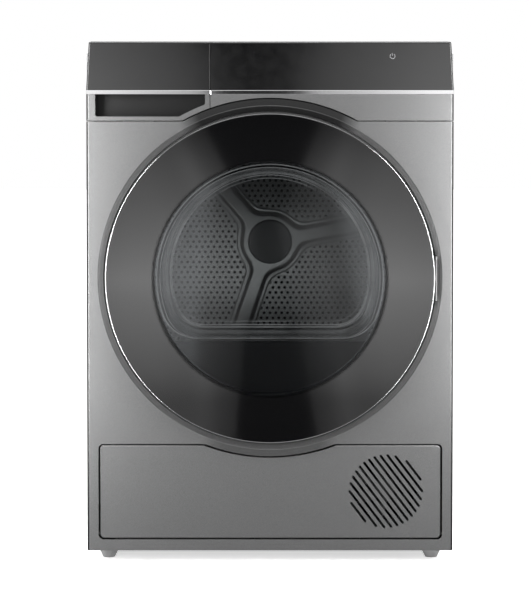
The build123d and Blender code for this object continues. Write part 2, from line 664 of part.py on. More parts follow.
# Door strike: the hooked tongue that enters the lock.
with BuildPart() as door_strike:
    block(-249, -245, LINER_Y, -254, DOOR_Z - 7, DOOR_Z + 7)
    block(-250, -242, LINER_Y, LINER_Y + SHEET, DOOR_Z - 9, DOOR_Z + 9)
    block(-250, -244, -262, -258, DOOR_Z - 4, DOOR_Z + 4, mode=Mode.SUBTRACT)

door_strike.part.label = "door_strike"
export_step(door_strike.part, "parts/door_strike.step")

# Hinge bracket: the plate behind the dish floor, its two ears and the pin between them.
with BuildPart() as hinge_bracket:
    block(240, 271, FLOOR_Y + SHEET, FLOOR_Y + 4.5, DOOR_Z - 40, DOOR_Z + 40)
    for ear_z in (DOOR_Z - EAR_Z, DOOR_Z + EAR_Z):
        block(260, PIVOT[0] + 2, PIVOT[1], FLOOR_Y + 4.5, ear_z - 3, ear_z + 3)
        post(*PIVOT, KNUCKLE_R, ear_z - 3, ear_z + 3)
    post(*PIVOT, PIN_R, DOOR_Z - EAR_Z, DOOR_Z + EAR_Z)

hinge_bracket.part.label = "hinge_bracket"
export_step(hinge_bracket.part, "parts/hinge_bracket.step")

# Door lock: the catch housing behind the dish floor.
with BuildPart() as door_lock:
    block(-264, -230, FLOOR_Y + SHEET, -242, DOOR_Z - 22, DOOR_Z + 22)
    block(-254, -240, FLOOR_Y, -248, DOOR_Z - 11, DOOR_Z + 11, mode=Mode.SUBTRACT)

door_lock.part.label = "door_lock"
export_step(door_lock.part, "parts/door_lock.step")

# ==== flap ====

# Flap: a hinged skin with a folded edge, diagonal air slots and a bored lug at each side.
with BuildPart() as flap:
    with BuildSketch(facing(PANEL_Y + 12)) as flap_face:
        flap_outline(0)
        fillet(flap_face.vertices().filter_by(lambda v: abs(v.X) < 130 and v.Y > FLAP_TOP - 1), 8)
    extrude(amount=12)
    with BuildSketch(facing(PANEL_Y + 12)):
        flap_outline(-WALL)
    extrude(amount=12 - WALL, mode=Mode.SUBTRACT)
    with BuildSketch(facing(PANEL_Y + 13)):
        for row in range(VENT_SLOTS):
            step = (row - VENT_SLOTS // 2) * VENT_PITCH
            chord = 2 * sqrt(VENT_R**2 - step**2)
            centre_x = VENT[0] + step * sin(radians(VENT_ANGLE))
            centre_z = VENT[1] + step * cos(radians(VENT_ANGLE))
            with Locations((centre_x, centre_z)):
                SlotOverall(chord, VENT_SLOT, rotation=-VENT_ANGLE)
    extrude(amount=14, mode=Mode.SUBTRACT)
    fillet(flap.edges().group_by(Axis.Y)[0].group_by(Axis.Z)[0], 2)
    for edge, inward in ((FLAP_LEFT, 1), (FLAP_RIGHT, -1)):
        lug = sorted((edge + inward * WALL / 2, edge + inward * (WALL + FLAP_LUG)))
        block(*lug, PANEL_Y + 2, FLAP_PIN[0] + 5, FLAP_PIN[1] - 3.5, FLAP_PIN[1] + 7)
        bore_length = 2 * (WALL + FLAP_LUG + 1)
        with Locations((edge, *FLAP_PIN)):
            Cylinder(FLAP_PIN_R + RUN_FIT, bore_length, rotation=(0, 90, 0), mode=Mode.SUBTRACT)

flap.part.label = "flap"
export_step(flap.part, "parts/flap.step")

# ==== air path and heat pump ====

# Exchanger housing: the tunnel over the heat exchangers, open at both ends and to the filter.
with BuildPart() as exchanger_housing:
    block(-250, -26, -256, 44, BODY_Z + 8, 208)
    block(-248, -28, -257, 45, BODY_Z + 7, 206, mode=Mode.SUBTRACT)
    block(-110, -34, -254, -232, 200, 210, mode=Mode.SUBTRACT)

exchanger_housing.part.label = "exchanger_housing"
export_step(exchanger_housing.part, "parts/exchanger_housing.step")

# Service cover: the plate that closes the tunnel behind the flap.
with BuildPart() as service_cover:
    block(-252, -24, -262, -256, BODY_Z + 14, 206)
    fillet(service_cover.edges().filter_by(Axis.Y), 8)
    block(-200, -76, -262, -259, 60, 182, mode=Mode.SUBTRACT)
    rod(*LEVER, 14, -262, -259)
    rod(*LEVER, LEVER_PIN_R + RUN_FIT, -262, -256, mode=Mode.SUBTRACT)

service_cover.part.label = "service_cover"
export_step(service_cover.part, "parts/service_cover.step")

# Cover lever: the quarter-turn handle that locks the service cover.
with BuildPart() as cover_lever:
    with BuildSketch(facing(-262 - GAP)):
        with Locations(LEVER):
            SlotOverall(90, 20, rotation=90)
    extrude(amount=6)
    fillet(cover_lever.faces().sort_by(Axis.Y)[0].edges(), 1.5)
    rod(*LEVER, LEVER_PIN_R, -262 - GAP, -258)

cover_lever.part.label = "cover_lever"
export_step(cover_lever.part, "parts/cover_lever.step")

# Evaporator and condenser: finned blocks between two header plates.
for coil_name, coil_front, coil_rear in (("evaporator", -200, -120), ("condenser", -100, 40)):
    with BuildPart() as coil:
        block(-246, -30, coil_front, coil_rear, BODY_Z + 10, 202)
        with Locations((-138, (coil_front + coil_rear) / 2, 117)):
            with GridLocations(9, 0, 23, 1):
                Box(7.4, coil_rear - coil_front + 2, 156, mode=Mode.SUBTRACT)

    coil.part.label = coil_name
    export_step(coil.part, f"parts/{coil_name}.step")

# Compressor: a sealed steel pot on a foot ring.
with BuildPart() as compressor:
    post(215, -60, 58, 40, 190)
    fillet(compressor.edges().filter_by(GeomType.CIRCLE), 18)
    block(160, 270, -115, -5, BODY_Z + 8, BODY_Z + 20)

compressor.part.label = "compressor"
export_step(compressor.part, "parts/compressor.step")

# Refrigerant pipes: suction and discharge lines from the compressor to the tunnel wall.
with BuildPart() as refrigerant_pipes:
    for y in (-90, -40):
        with BuildLine() as route:
            FilletPolyline((215, y, 190), (215, y, 203), (-26, y, 203), radius=9)
        with BuildSketch(Plane((215, y, 190))):
            Circle(4)
        sweep(path=route.line)

refrigerant_pipes.part.label = "refrigerant_pipes"
export_step(refrigerant_pipes.part, "parts/refrigerant_pipes.step")

# Cooling fan: a square shroud with three struts and a stub shaft, and its bladed rotor.
with BuildPart() as fan_frame:
    with BuildSketch(facing(-224)):
        span(VENT[0] - 62, VENT[0] + 62, VENT[1] - 62, VENT[1] + 62)
        span(VENT[0] - 40, VENT[0] + 40, BODY_Z + 8, VENT[1] - 61)
        disc(VENT, 54, mode=Mode.SUBTRACT)
    extrude(amount=24)
    with BuildSketch(facing(-224)):
        disc(VENT, 16)
        with Locations(VENT):
            with PolarLocations(34, 3, 90):
                Rectangle(44, 7)
    extrude(amount=4)
    rod(*VENT, 2.5, -245, -226)

fan_frame.part.label = "fan_frame"
export_step(fan_frame.part, "parts/fan_frame.step")

with BuildPart() as fan_rotor:
    rod(*VENT, 17, -246, -230)
    with Locations((VENT[0], -238, VENT[1])):
        for blade in range(7):
            with Locations(Rotation(0, blade * 360 / 7, 0)):
                with Locations((33, 0, 0)):
                    Box(34, 2, 22, rotation=(35, 0, 0))
    rod(*VENT, 2.5 + RUN_FIT, -245.5, -229, mode=Mode.SUBTRACT)

fan_rotor.part.label = "fan_rotor"
export_step(fan_rotor.part, "parts/fan_rotor.step")

# Motor: a ribbed can on a foot, with the pivot pin of the belt tensioner.
with BuildPart() as motor_housing:
    rod(MOTOR_X, MOTOR_Z, MOTOR_R, 72, 190)
    block(MOTOR_X - 40, MOTOR_X + 40, 80, 180, BODY_Z + 8, MOTOR_Z - 40)
    block(ARM_PIVOT[0] - 9, ARM_PIVOT[0] + 9, 72, 84, BODY_Z + 8, ARM_PIVOT[1] + 9)
    rod(*ARM_PIVOT, 5, 62, 72)
    rod(MOTOR_X, MOTOR_Z, 6 + RUN_FIT, 70, 191, mode=Mode.SUBTRACT)
    rod(MOTOR_X, MOTOR_Z, MOTOR_R - 10, 82, 180, mode=Mode.SUBTRACT)

motor_housing.part.label = "motor_housing"
export_step(motor_housing.part, "parts/motor_housing.step")

# Motor rotor: the through shaft with the belt pulley on its front end.
with BuildPart() as motor_rotor:
    rod(MOTOR_X, MOTOR_Z, 6, 40, 276)
    rod(MOTOR_X, MOTOR_Z, PULLEY_R, BELT_Y - 9, BELT_Y + 9)

motor_rotor.part.label = "motor_rotor"
export_step(motor_rotor.part, "parts/motor_rotor.step")

# Blower wheel: the process-air fan on the motor's rear end.
with BuildPart() as blower_wheel:
    rod(MOTOR_X, MOTOR_Z, 62, 266, 269)
    rod(MOTOR_X, MOTOR_Z, 16, 240, 269)
    with Locations((MOTOR_X, 244, MOTOR_Z)):
        for blade in range(16):
            with Locations(Rotation(0, blade * 360 / 16, 0)):
                with Locations((50, 0, 0)):
                    Box(22, 46, 1.6, rotation=(0, 40, 0))
    rod(MOTOR_X, MOTOR_Z, 6, 220, 277, mode=Mode.SUBTRACT)

blower_wheel.part.label = "blower_wheel"
export_step(blower_wheel.part, "parts/blower_wheel.step")

# Blower housing: the round casing about the wheel, with its inlet eye.
with BuildPart() as blower_housing:
    rod(MOTOR_X, MOTOR_Z, 76, 207, BACK_Y)
    block(MOTOR_X - 50, MOTOR_X + 50, 212, BACK_Y - 6, BODY_Z + 8, 56)
    rod(MOTOR_X, MOTOR_Z, 73.5, 209.5, BACK_Y, mode=Mode.SUBTRACT)
    rod(MOTOR_X, MOTOR_Z, 45, 206, 210, mode=Mode.SUBTRACT)

blower_housing.part.label = "blower_housing"
export_step(blower_housing.part, "parts/blower_housing.step")

# Drive belt: a flat belt about the drum, the motor pulley and the idler.
with BuildPart() as drive_belt:
    with BuildSketch(facing(BELT_Y + BELT_WIDE / 2)):
        disc((0, DRUM_Z), DRUM_R + GAP + BELT_THICK)
        disc((MOTOR_X, MOTOR_Z), PULLEY_R + GAP + BELT_THICK)
        disc(IDLER, IDLER_R + GAP + BELT_THICK)
        make_hull()
    extrude(amount=BELT_WIDE)
    with BuildSketch(facing(BELT_Y + BELT_WIDE / 2)):
        disc((0, DRUM_Z), DRUM_R + GAP)
        disc((MOTOR_X, MOTOR_Z), PULLEY_R + GAP)
        disc(IDLER, IDLER_R + GAP)
        make_hull()
    extrude(amount=BELT_WIDE, mode=Mode.SUBTRACT)

drive_belt.part.label = "drive_belt"
export_step(drive_belt.part, "parts/drive_belt.step")

# Idler arm: a sprung link from the motor foot to the idler's pin.
arm_x = IDLER[0] - ARM_PIVOT[0]
arm_z = IDLER[1] - ARM_PIVOT[1]
arm_length = sqrt(arm_x**2 + arm_z**2)
arm_tilt = degrees(acos(arm_x / arm_length))
with BuildPart() as idler_arm:
    with BuildSketch(facing(70)):
        with Locations(((IDLER[0] + ARM_PIVOT[0]) / 2, (IDLER[1] + ARM_PIVOT[1]) / 2)):
            SlotOverall(arm_length + 20, 20, rotation=arm_tilt)
        disc(ARM_PIVOT, 5 + RUN_FIT, mode=Mode.SUBTRACT)
    extrude(amount=4)
    rod(*IDLER, 4, BELT_Y - 9, 66)

idler_arm.part.label = "idler_arm"
export_step(idler_arm.part, "parts/idler_arm.step")

# Idler pulley: the plain wheel that keeps the belt tight.
with BuildPart() as idler_pulley:
    rod(*IDLER, IDLER_R, BELT_Y - 8, BELT_Y + 8)
    rod(*IDLER, 4 + RUN_FIT, BELT_Y - 9, BELT_Y + 9, mode=Mode.SUBTRACT)

idler_pulley.part.label = "idler_pulley"
export_step(idler_pulley.part, "parts/idler_pulley.step")

# Drain pump: the small sealed pump at the back of the tray, with its outlet spout.
with BuildPart() as drain_pump:
    block(-200, -130, 200, 270, BODY_Z + 8, 74)
    post(-165, 235, 28, 74, 104)
    rod(-165, 90, 6, 250, 284)

drain_pump.part.label = "drain_pump"
export_step(drain_pump.part, "parts/drain_pump.step")

# ==== water drawer ====

# Tank chute: the open channel that the tank slides in, curved over the drum.
with BuildPart() as tank_chute:
    with BuildSketch(facing(TANK_REAR_Y + 14)):
        tank_section(4, TANK_TOP + 4)
    extrude(amount=TANK_REAR_Y + 10 - TANK_FRONT_Y)
    with BuildSketch(facing(TANK_REAR_Y + 12)):
        tank_section(2, TANK_TOP + 5)
    extrude(amount=TANK_REAR_Y + 10 - TANK_FRONT_Y, mode=Mode.SUBTRACT)

tank_chute.part.label = "tank_chute"
export_step(tank_chute.part, "parts/tank_chute.step")

# Water tank: a blow-moulded box with a filling hole on top at the back.
with BuildPart() as water_tank:
    with BuildSketch(facing(TANK_REAR_Y)):
        tank_section(0, TANK_TOP)
    extrude(amount=TANK_REAR_Y - TANK_FRONT_Y)
    with BuildSketch(facing(TANK_REAR_Y - 2)):
        tank_section(-2, TANK_TOP - 2)
    extrude(amount=TANK_REAR_Y - TANK_FRONT_Y - 4, mode=Mode.SUBTRACT)
    post(-230, 200, 16, TANK_TOP - 3, TANK_TOP + 1, mode=Mode.SUBTRACT)

water_tank.part.label = "water_tank"
export_step(water_tank.part, "parts/water_tank.step")

# Container front: the drawer's face, with a finger pocket that rises behind the bright bar.
grip_left = -283.0
grip_right = -105.0
grip_bottom = 727.5
with BuildPart() as container_front:
    block(-HALF, SPLIT_X, PANEL_Y, RIM_Y - SEAM, FASCIA_Z, BAND_TOP)
    fillet(upright_edge(container_front.part, -HALF, PANEL_Y), EDGE_R)
    block(-HALF, SPLIT_X, PANEL_Y - 1, PANEL_Y + PANE, STRIP_Z, BAND_TOP, mode=Mode.SUBTRACT)
    block(
        -HALF + DRAFT + WALL, SPLIT_X - WALL, PANEL_Y + 6, RIM_Y, FASCIA_Z + WALL, BAND_TOP - WALL,
        mode=Mode.SUBTRACT,
    )
    block(grip_left - WALL, grip_right + WALL, PANEL_Y + PANE, TANK_FRONT_Y, FASCIA_Z + 1, 788)
    with BuildSketch(facing(TANK_FRONT_Y - WALL)) as grip:
        span(grip_left, grip_right, grip_bottom, 785)
        disc((0, DOOR_Z), ARC_R + 8, mode=Mode.SUBTRACT)
        fillet(grip.vertices().filter_by(lambda v: v.Y < 780), 4)
    extrude(amount=TANK_FRONT_Y - WALL - PANEL_Y - 6, mode=Mode.SUBTRACT)
    with BuildSketch(facing(PANEL_Y + 7)) as grip_mouth:
        span(grip_left, grip_right, grip_bottom, STRIP_Z)
        disc((0, DOOR_Z), ARC_R + 8, mode=Mode.SUBTRACT)
        fillet(grip_mouth.vertices().filter_by(lambda v: v.Y < STRIP_Z - 5), 4)
    extrude(amount=8, mode=Mode.SUBTRACT)
    rod(0, DOOR_Z, ARC_R, PANEL_Y - 1, TANK_FRONT_Y + 1, mode=Mode.SUBTRACT)
    lean_in(-1)

container_front.part.label = "container_front"
export_step(container_front.part, "parts/container_front.step")

# Container glass and trim: the drawer's share of the black band and of the bright bar.
with BuildPart() as container_glass:
    block(-HALF, SPLIT_X, PANEL_Y, PANEL_Y + PANE, GLASS_Z, BAND_TOP)
    lean_in(-1)
    fillet(container_glass.edges().filter_by(Axis.Y).sort_by_distance((-HALF, PANEL_Y, BAND_TOP))[0], 3)
    fillet(container_glass.edges().sort_by_distance((-HALF, PANEL_Y - 1, WORKTOP_Z - 20))[0], PANE_EDGE_R)

container_glass.part.label = "container_glass"
export_step(container_glass.part, "parts/container_glass.step")

with BuildPart() as container_trim:
    block(-HALF, SPLIT_X, PANEL_Y, PANEL_Y + PANE, STRIP_Z, GLASS_Z)
    fillet(upright_edge(container_trim.part, -HALF, PANEL_Y), PANE_EDGE_R)
    block(-HALF + EDGE_R, SPLIT_X - 6, PANEL_Y - BAR_PROUD, PANEL_Y, STRIP_Z + 0.5, GLASS_Z - 0.5)

container_trim.part.label = "container_trim"
export_step(container_trim.part, "parts/container_trim.step")
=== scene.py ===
"""Looks of the clothes dryer: camera, studio, materials and the detailed pieces around the CAD frame.

Metres, +Z up, the door faces -Y. Most places come from the CAD nodes' boxes.
"""

import json
import math

import bmesh
import bpy
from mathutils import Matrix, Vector


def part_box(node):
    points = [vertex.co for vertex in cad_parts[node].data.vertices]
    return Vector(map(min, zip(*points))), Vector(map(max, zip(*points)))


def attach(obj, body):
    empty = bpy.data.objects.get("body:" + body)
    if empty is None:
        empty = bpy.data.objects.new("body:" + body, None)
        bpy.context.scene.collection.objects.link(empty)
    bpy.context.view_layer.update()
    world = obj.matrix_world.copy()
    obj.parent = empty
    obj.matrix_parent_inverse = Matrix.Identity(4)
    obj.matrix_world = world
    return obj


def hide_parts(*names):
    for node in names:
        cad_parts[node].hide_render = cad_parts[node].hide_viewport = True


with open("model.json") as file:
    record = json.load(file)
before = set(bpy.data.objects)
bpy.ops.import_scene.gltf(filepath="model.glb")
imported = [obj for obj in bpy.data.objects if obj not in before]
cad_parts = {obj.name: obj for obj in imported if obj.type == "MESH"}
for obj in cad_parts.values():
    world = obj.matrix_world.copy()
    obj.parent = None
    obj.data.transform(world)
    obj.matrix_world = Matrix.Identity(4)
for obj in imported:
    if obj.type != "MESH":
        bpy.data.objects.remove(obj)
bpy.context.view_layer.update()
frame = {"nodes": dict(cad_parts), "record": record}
NODES = frame["nodes"]

# ---- places that several pieces share ----
FRONT_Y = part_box("front_panel")[0].y
TRIM_LOW, TRIM_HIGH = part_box("door_trim_ring")
DOOR_Z = (TRIM_LOW.z + TRIM_HIGH.z) / 2
DOOR_R = (TRIM_HIGH.z - TRIM_LOW.z) / 2
APEX_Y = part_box("door_glass")[0].y
BOWL_LOW, BOWL_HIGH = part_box("door_bowl")
SHELL_LOW, SHELL_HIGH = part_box("drum_shell")
DRUM_Z = (SHELL_LOW.z + SHELL_HIGH.z) / 2
DRUM_R = (SHELL_HIGH.z - SHELL_LOW.z) / 2
SHEET_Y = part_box("drum_back")[0].y + 0.005  # the perforated sheet, behind the raised star's front
AXIS_R = 0.0005  # how close to its axis a lathed disc starts

# ---- door ----
GLASS_R = DOOR_R - 0.0016  # the pane ends just inside the bright edge
DOME_RISE = 0.017
PANE_THICK = 0.004
WINDOW_R = 0.188  # the clear middle of the pane
WINDOW_FADE = 0.004
INNER_PANE_DEPTH = 0.008
INNER_PANE_THICK = 0.002
DOME_RINGS = 40
BEAD_R = 0.00075
BEAD_STEPS = 8
PANE_TURN = 0.0035  # slope of the inner pane, which is turned a little about the upright
BOWL_FLAT_Z = 0.367  # the bowl's flat underside, at its rim
CENTRE_RISE = 0.15  # how much of the underside's rise the bowl's centre follows
STAGE_DEPTH = 0.110  # the depth that BOWL_STAGES are written for
FLANGE_GAP = 0.0005
BOWL_WALL = 0.0035
ROD_SIDES = 6
BOWL_STAGES = (  # radius, depth behind the rim, rise of the underside, radius of the lower corners
    (0.1935, 0.000, 0.0035, 0.060),
    (0.1850, 0.000, 0.0010, 0.057),
    (0.1815, 0.002, 0.0000, 0.056),
    (0.1790, 0.006, 0.0000, 0.055),
    (0.1770, 0.014, 0.0010, 0.054),
    (0.1745, 0.034, 0.0030, 0.053),
    (0.1715, 0.062, 0.0070, 0.052),
    (0.1690, 0.084, 0.0110, 0.050),
    (0.1675, 0.092, 0.0130, 0.050),
    (0.1645, 0.0985, 0.0150, 0.048),
    (0.1600, 0.1028, 0.0185, 0.045),
    (0.1540, 0.1052, 0.0235, 0.040),
    (0.1470, 0.1060, 0.0300, 0.036),
)
BOWL_EDGES = (  # name, radius, y, rise of the underside, radius of the lower corners, half thickness
    ("bowl_rim", 0.1842, BOWL_LOW.y + 0.0012, 0.0008, 0.057, 0.00085),
    ("bowl_shoulder", 0.1792, BOWL_LOW.y + 0.006, 0.0008, 0.055, 0.0005),
    ("bowl_floor_edge", 0.1648, BOWL_HIGH.y - 0.0085, 0.0148, 0.048, 0.0008),
    ("bowl_floor_step", 0.1585, BOWL_HIGH.y - 0.0045, 0.0200, 0.045, 0.00045),
)
SIGHT_STEPS = ((0.0008, 0.016), (0.0022, 0.017), (0.0022, 0.019), (0.0008, 0.020))

# ---- drum ----
ARM_ANGLES = (11.0, 131.0, 251.0)
ARM_HALF = 0.0145
BOSS_R = 0.054
ARM_BLEND = 0.020  # how far from the join of arm and boss their outlines are rounded into each other
STAR_LIFT = 0.006
STAR_SLOPE = 0.007
FOOT_BEAD = 0.0016
FOOT_BEAD_AT = 0.0065
FOOT_BEAD_WIDE = 0.0022
STAR_STEP = 0.0024
STAR_REACH = 0.013  # the star's mesh ends this far outside its outline
TUCK_FROM = 0.0105  # and sinks behind the sheet from here on
TUCK_DEPTH = 0.0012
HOLE_PITCH = 0.0112
ROW_RATIO = 0.866
HOLE_R = 0.0026
HOLE_FLARE = 1.35
HOLE_DEPTH = 0.0012
HOLE_MARGIN = 0.010  # holes start this far outside the star's outline
CELL_POINTS = 12
SHEET_R = DRUM_R - 0.016  # cells are laid with their middles inside this
STAR_R = DRUM_R - 0.018
# the black disc of painted shade behind the sheet reaches this far
SHADE_R = DRUM_R - 0.02
RIM_STEPS = (  # inwards from the drum's wall, behind the sheet
    (0.022, 0.0003), (0.0135, -0.0035), (0.006, -0.0045), (0.0013, -0.0015), (0.0013, 0.002), (0.022, 0.002),
)

# ---- control band ----
BAR_LEAN = 0.3  # degrees
BAR_ROUNDING = 0.0005
ICON_CENTRE = Vector((0.198, FRONT_Y, 0.825))
ICON_RADII = (0.0036, 0.0044)
ICON_DEPTHS = (-0.0001, -0.00002)
ICON_GAP = 32  # degrees on either side of the stroke
ICON_STEPS = 40
STROKE_HALF = 0.0004
STROKE_SPAN = (0.0012, 0.0050)
BLOCK_SIDES = [(0, 1, 3, 2), (4, 6, 7, 5), (0, 2, 6, 4), (1, 5, 7, 3), (0, 4, 5, 1), (2, 3, 7, 6)]

# ---- paint, and the painted shade and painted highlight about the door: bands by radius, sweeps by degrees off the upright ----
PAINT_DARK = (0.116, 0.1165, 0.117)
PAINT_LIGHT = (0.178, 0.1785, 0.179)
BLACK_DARK = (0.0012, 0.0012, 0.0013)
BLACK_LIGHT = (0.002, 0.002, 0.0021)
GLASS_IOR = 2.0
# painted glint: the bowl's glass edges glow, though they are no lamp
EDGE_PAINTED_GLOW = 0.2
# painted shade on rounded upright corners, for their dark outline
CORNER_PAINTED_SHADE = 0.14
CORNER_SHADE_FALL = ((0.0, 1.0), (0.08, 1.0), (0.22, CORNER_PAINTED_SHADE), (1.0, CORNER_PAINTED_SHADE))
FLAT_HALF = 0.2925  # half the front sheet's width between its rounded corners
# painted shade in crescents over and under the door
TOP_PAINTED_SHADE = 0.82
UNDER_PAINTED_SHADE = 0.4
TOP_SHADE_BAND = ((0.2690, 0.0), (0.2700, 1.0), (0.2899, 1.0), (0.2909, 0.0))
TOP_SHADE_SWEEP = ((0.0, TOP_PAINTED_SHADE), (24.0, TOP_PAINTED_SHADE), (31.0, 0.0), (90.0, 0.0))
UNDER_SHADE_BAND = ((0.2780, 0.0), (0.2792, 1.0), (0.2899, 1.0), (0.2909, 0.0))
UNDER_SHADE_SWEEP = ((0.0, UNDER_PAINTED_SHADE), (16.0, UNDER_PAINTED_SHADE), (23.0, 0.0), (90.0, 0.0))
# a painted line inside the crescents: highlight over and under the door, shade at the sides
PAINTED_LINE_BAND = ((0.2780, 0.0), (0.2787, 1.0), (0.2793, 1.0), (0.2800, 0.0))
PAINTED_LINE_SWEEP = ((0.0, 1.6), (30.0, 1.2), (42.0, 0.45), (90.0, 0.45))
# painted shade in the water drawer's grip pocket
POCKET_SHADE_FALL = ((0.0, 1.0), (0.003, 1.0), (0.010, 0.16), (0.030, 0.12))

# ---- the studio's light, in degrees off the way the door faces ----
GAP_WAIST = 3.0  # how far up the dark gap between the softboxes is narrowest
GAP_FLARE_OVER = 0.47
GAP_FLARE_UNDER = 0.15
GAP_SHIFT = 0.05
GAP_ASIDE = 0.45
SOFTBOX_LEVEL = 1.6
SOFTBOX_ACROSS = (
    (0.0, 0.02), (1.1, 0.03), (1.6, 0.38), (2.4, 0.46), (3.4, 0.58), (4.2, 0.70), (5.0, 0.88), (5.8, 0.98),
    (8.0, 0.86), (12.0, 0.96), (16.0, 0.92), (25.0, 0.62), (40.0, 0.5), (60.0, 0.5),
)
SOFTBOX_UPWARD = (
    (-40.0, 0.42), (-26.0, 0.38), (-22.0, 0.24), (-18.0, 0.25), (-14.4, 0.46), (-11.0, 0.60), (-6.0, 0.82),
    (-3.5, 0.98), (1.0, 0.74), (6.0, 0.50), (10.7, 0.35), (15.0, 0.14), (22.0, 0.1), (40.0, 0.25),
)
ROOM_UPWARD = ((-90.0, 0.5), (-20.0, 0.5), (0.0, 0.6), (30.0, 0.8), (60.0, 1.0), (90.0, 1.1))
ROOM_SHARE = ((0.0, 0.0), (24.0, 0.0), (48.0, 1.0), (90.0, 1.0))
FLOOR_GLOW = 0.6
FLOOR_HALF = 60.0
STRIP_WIDE = 0.2
STRIP_TALL = 0.9
STRIP_POWER = 20
OVERHEAD_SIZE = 2.4
OVERHEAD_POWER = 14
DRUM_LAMP_POWER = 0.07

# ---- camera ----
LENS = 111.15
SHIFT_X = -0.0075
SHIFT_Y = -0.12925
CAMERA_Z = 0.64
CAMERA_AWAY = 3.0
CAMERA_DIP = 1.6  # degrees


# ==== materials ====


class Tree:
    """A material's or a world's node tree, with short calls for the nodes that recur."""

    def __init__(self, owner):
        owner.use_nodes = True
        self.owner = owner
        self.tree = owner.node_tree
        self.tree.nodes.clear()

    def node(self, kind, **values):
        made = self.tree.nodes.new(kind)
        for key, value in values.items():
            setattr(made, key, value)
        return made

    def link(self, source, target):
        self.tree.links.new(source, target)

    def sum(self, operation, first, second=None):
        """A maths node on one or two numbers or sockets."""
        made = self.node("ShaderNodeMath", operation=operation)
        for socket, value in zip(made.inputs, (first, second)):
            if isinstance(value, (int, float)):
                socket.default_value = value
            elif value is not None:
                self.link(value, socket)
        return made.outputs["Value"]

    def axes(self, vector):
        split = self.node("ShaderNodeSeparateXYZ")
        self.link(vector, split.inputs["Vector"])
        return [split.outputs[axis] for axis in "XYZ"]

    def ramp(self, value, stops):
        """A level that follows value through (value, level) stops."""
        low, high = stops[0][0], stops[-1][0]
        top = max(level for _, level in stops)
        ramp = self.node("ShaderNodeValToRGB")
        elements = ramp.color_ramp.elements
        while len(elements) < len(stops):
            elements.new(0.5)
        for element, (place, level) in zip(elements, stops):
            element.position = (place - low) / (high - low)
            element.color = (level / top, level / top, level / top, 1)
        self.link(self.sum("DIVIDE", self.sum("SUBTRACT", value, low), high - low), ramp.inputs["Fac"])
        return self.sum("MULTIPLY", ramp.outputs["Color"], top)

    def mix_shader(self, factor, first, second):
        mixed = self.node("ShaderNodeMixShader")
        self.link(factor, mixed.inputs["Fac"])
        self.link(first, mixed.inputs[1])
        self.link(second, mixed.inputs[2])
        return mixed.outputs["Shader"]


class Shade(Tree):
    """A new material's node tree, with calls for its noises, colours and bumps."""

    def __init__(self, name):
        super().__init__(bpy.data.materials.new(name))
        self.out = self.node("ShaderNodeOutputMaterial")
        self.place = self.node("ShaderNodeTexCoord").outputs["Object"]

    def noise(self, scale, detail=3.0, stretch=(1, 1, 1)):
        mapping = self.node("ShaderNodeMapping")
        mapping.inputs["Scale"].default_value = stretch
        self.link(self.place, mapping.inputs["Vector"])
        noise = self.node("ShaderNodeTexNoise")
        noise.inputs["Scale"].default_value = scale
        noise.inputs["Detail"].default_value = detail
        self.link(mapping.outputs["Vector"], noise.inputs["Vector"])
        return noise.outputs["Fac"]

    def speckle(self, scale):
        cells = self.node("ShaderNodeTexVoronoi")
        cells.inputs["Scale"].default_value = scale
        self.link(self.place, cells.inputs["Vector"])
        return cells.outputs["Distance"]

    def spread(self, source, low, high):
        """A noise's usual range, 0.3 to 0.7, drawn out from low to high."""
        ranged = self.node("ShaderNodeMapRange")
        ranged.inputs["From Min"].default_value = 0.3
        ranged.inputs["From Max"].default_value = 0.7
        ranged.inputs["To Min"].default_value = low
        ranged.inputs["To Max"].default_value = high
        self.link(source, ranged.inputs["Value"])
        return ranged.outputs["Result"]

    def mix_colour(self, factor, first, second):
        mixed = self.node("ShaderNodeMix", data_type="RGBA")
        self.link(factor, mixed.inputs["Factor"])
        mixed.inputs["A"].default_value = (*first, 1)
        mixed.inputs["B"].default_value = (*second, 1)
        return mixed.outputs["Result"]

    def clouded(self, source, dark, light):
        """A colour that wanders between dark and light with a noise."""
        return self.mix_colour(self.spread(source, 0.0, 1.0), dark, light)

    def bump(self, height, strength, distance):
        bump = self.node("ShaderNodeBump")
        bump.inputs["Strength"].default_value = strength
        bump.inputs["Distance"].default_value = distance
        self.link(height, bump.inputs["Height"])
        return bump.outputs["Normal"]

    def corner(self):
        """One on faces that look forwards, falling on rounded upright corners: painted shade, for their dark
        outline.
        """
        sideways, _, _ = self.axes(self.node("ShaderNodeNewGeometry").outputs["Normal"])
        return self.ramp(self.sum("ABSOLUTE", sideways), CORNER_SHADE_FALL)

    def principled(self, **values):
        made = self.node("ShaderNodeBsdfPrincipled")
        for key, value in values.items():
            made.inputs[key.replace("_", " ")].default_value = value
        return made

    def see_through(self, colour=(1, 1, 1)):
        clear = self.node("ShaderNodeBsdfTransparent")
        clear.inputs["Color"].default_value = (*colour, 1)
        return clear.outputs["BSDF"]

    def fresnel(self, index):
        made = self.node("ShaderNodeFresnel")
        made.inputs["IOR"].default_value = index
        return made.outputs["Fac"]

    def finish(self, shader):
        self.link(shader, self.out.inputs["Surface"])
        return self.owner


def surface(name, dark, light, metallic, rough, grain, depth, stretch=(1, 1, 1), **values):
    """A Principled surface: cloudy colour, uneven roughness and a fine bump of the stated grain."""
    s = Shade(name)
    shader = s.principled(Metallic=metallic, **values)
    cloud = s.noise(7.0, 4.0)
    fine = s.noise(grain, 2.0, stretch)
    s.link(s.clouded(cloud, dark, light), shader.inputs["Base Color"])
    s.link(s.spread(fine, rough[0], rough[1]), shader.inputs["Roughness"])
    s.link(s.bump(fine, 0.35, depth), shader.inputs["Normal"])
    return s.finish(shader.outputs["BSDF"])


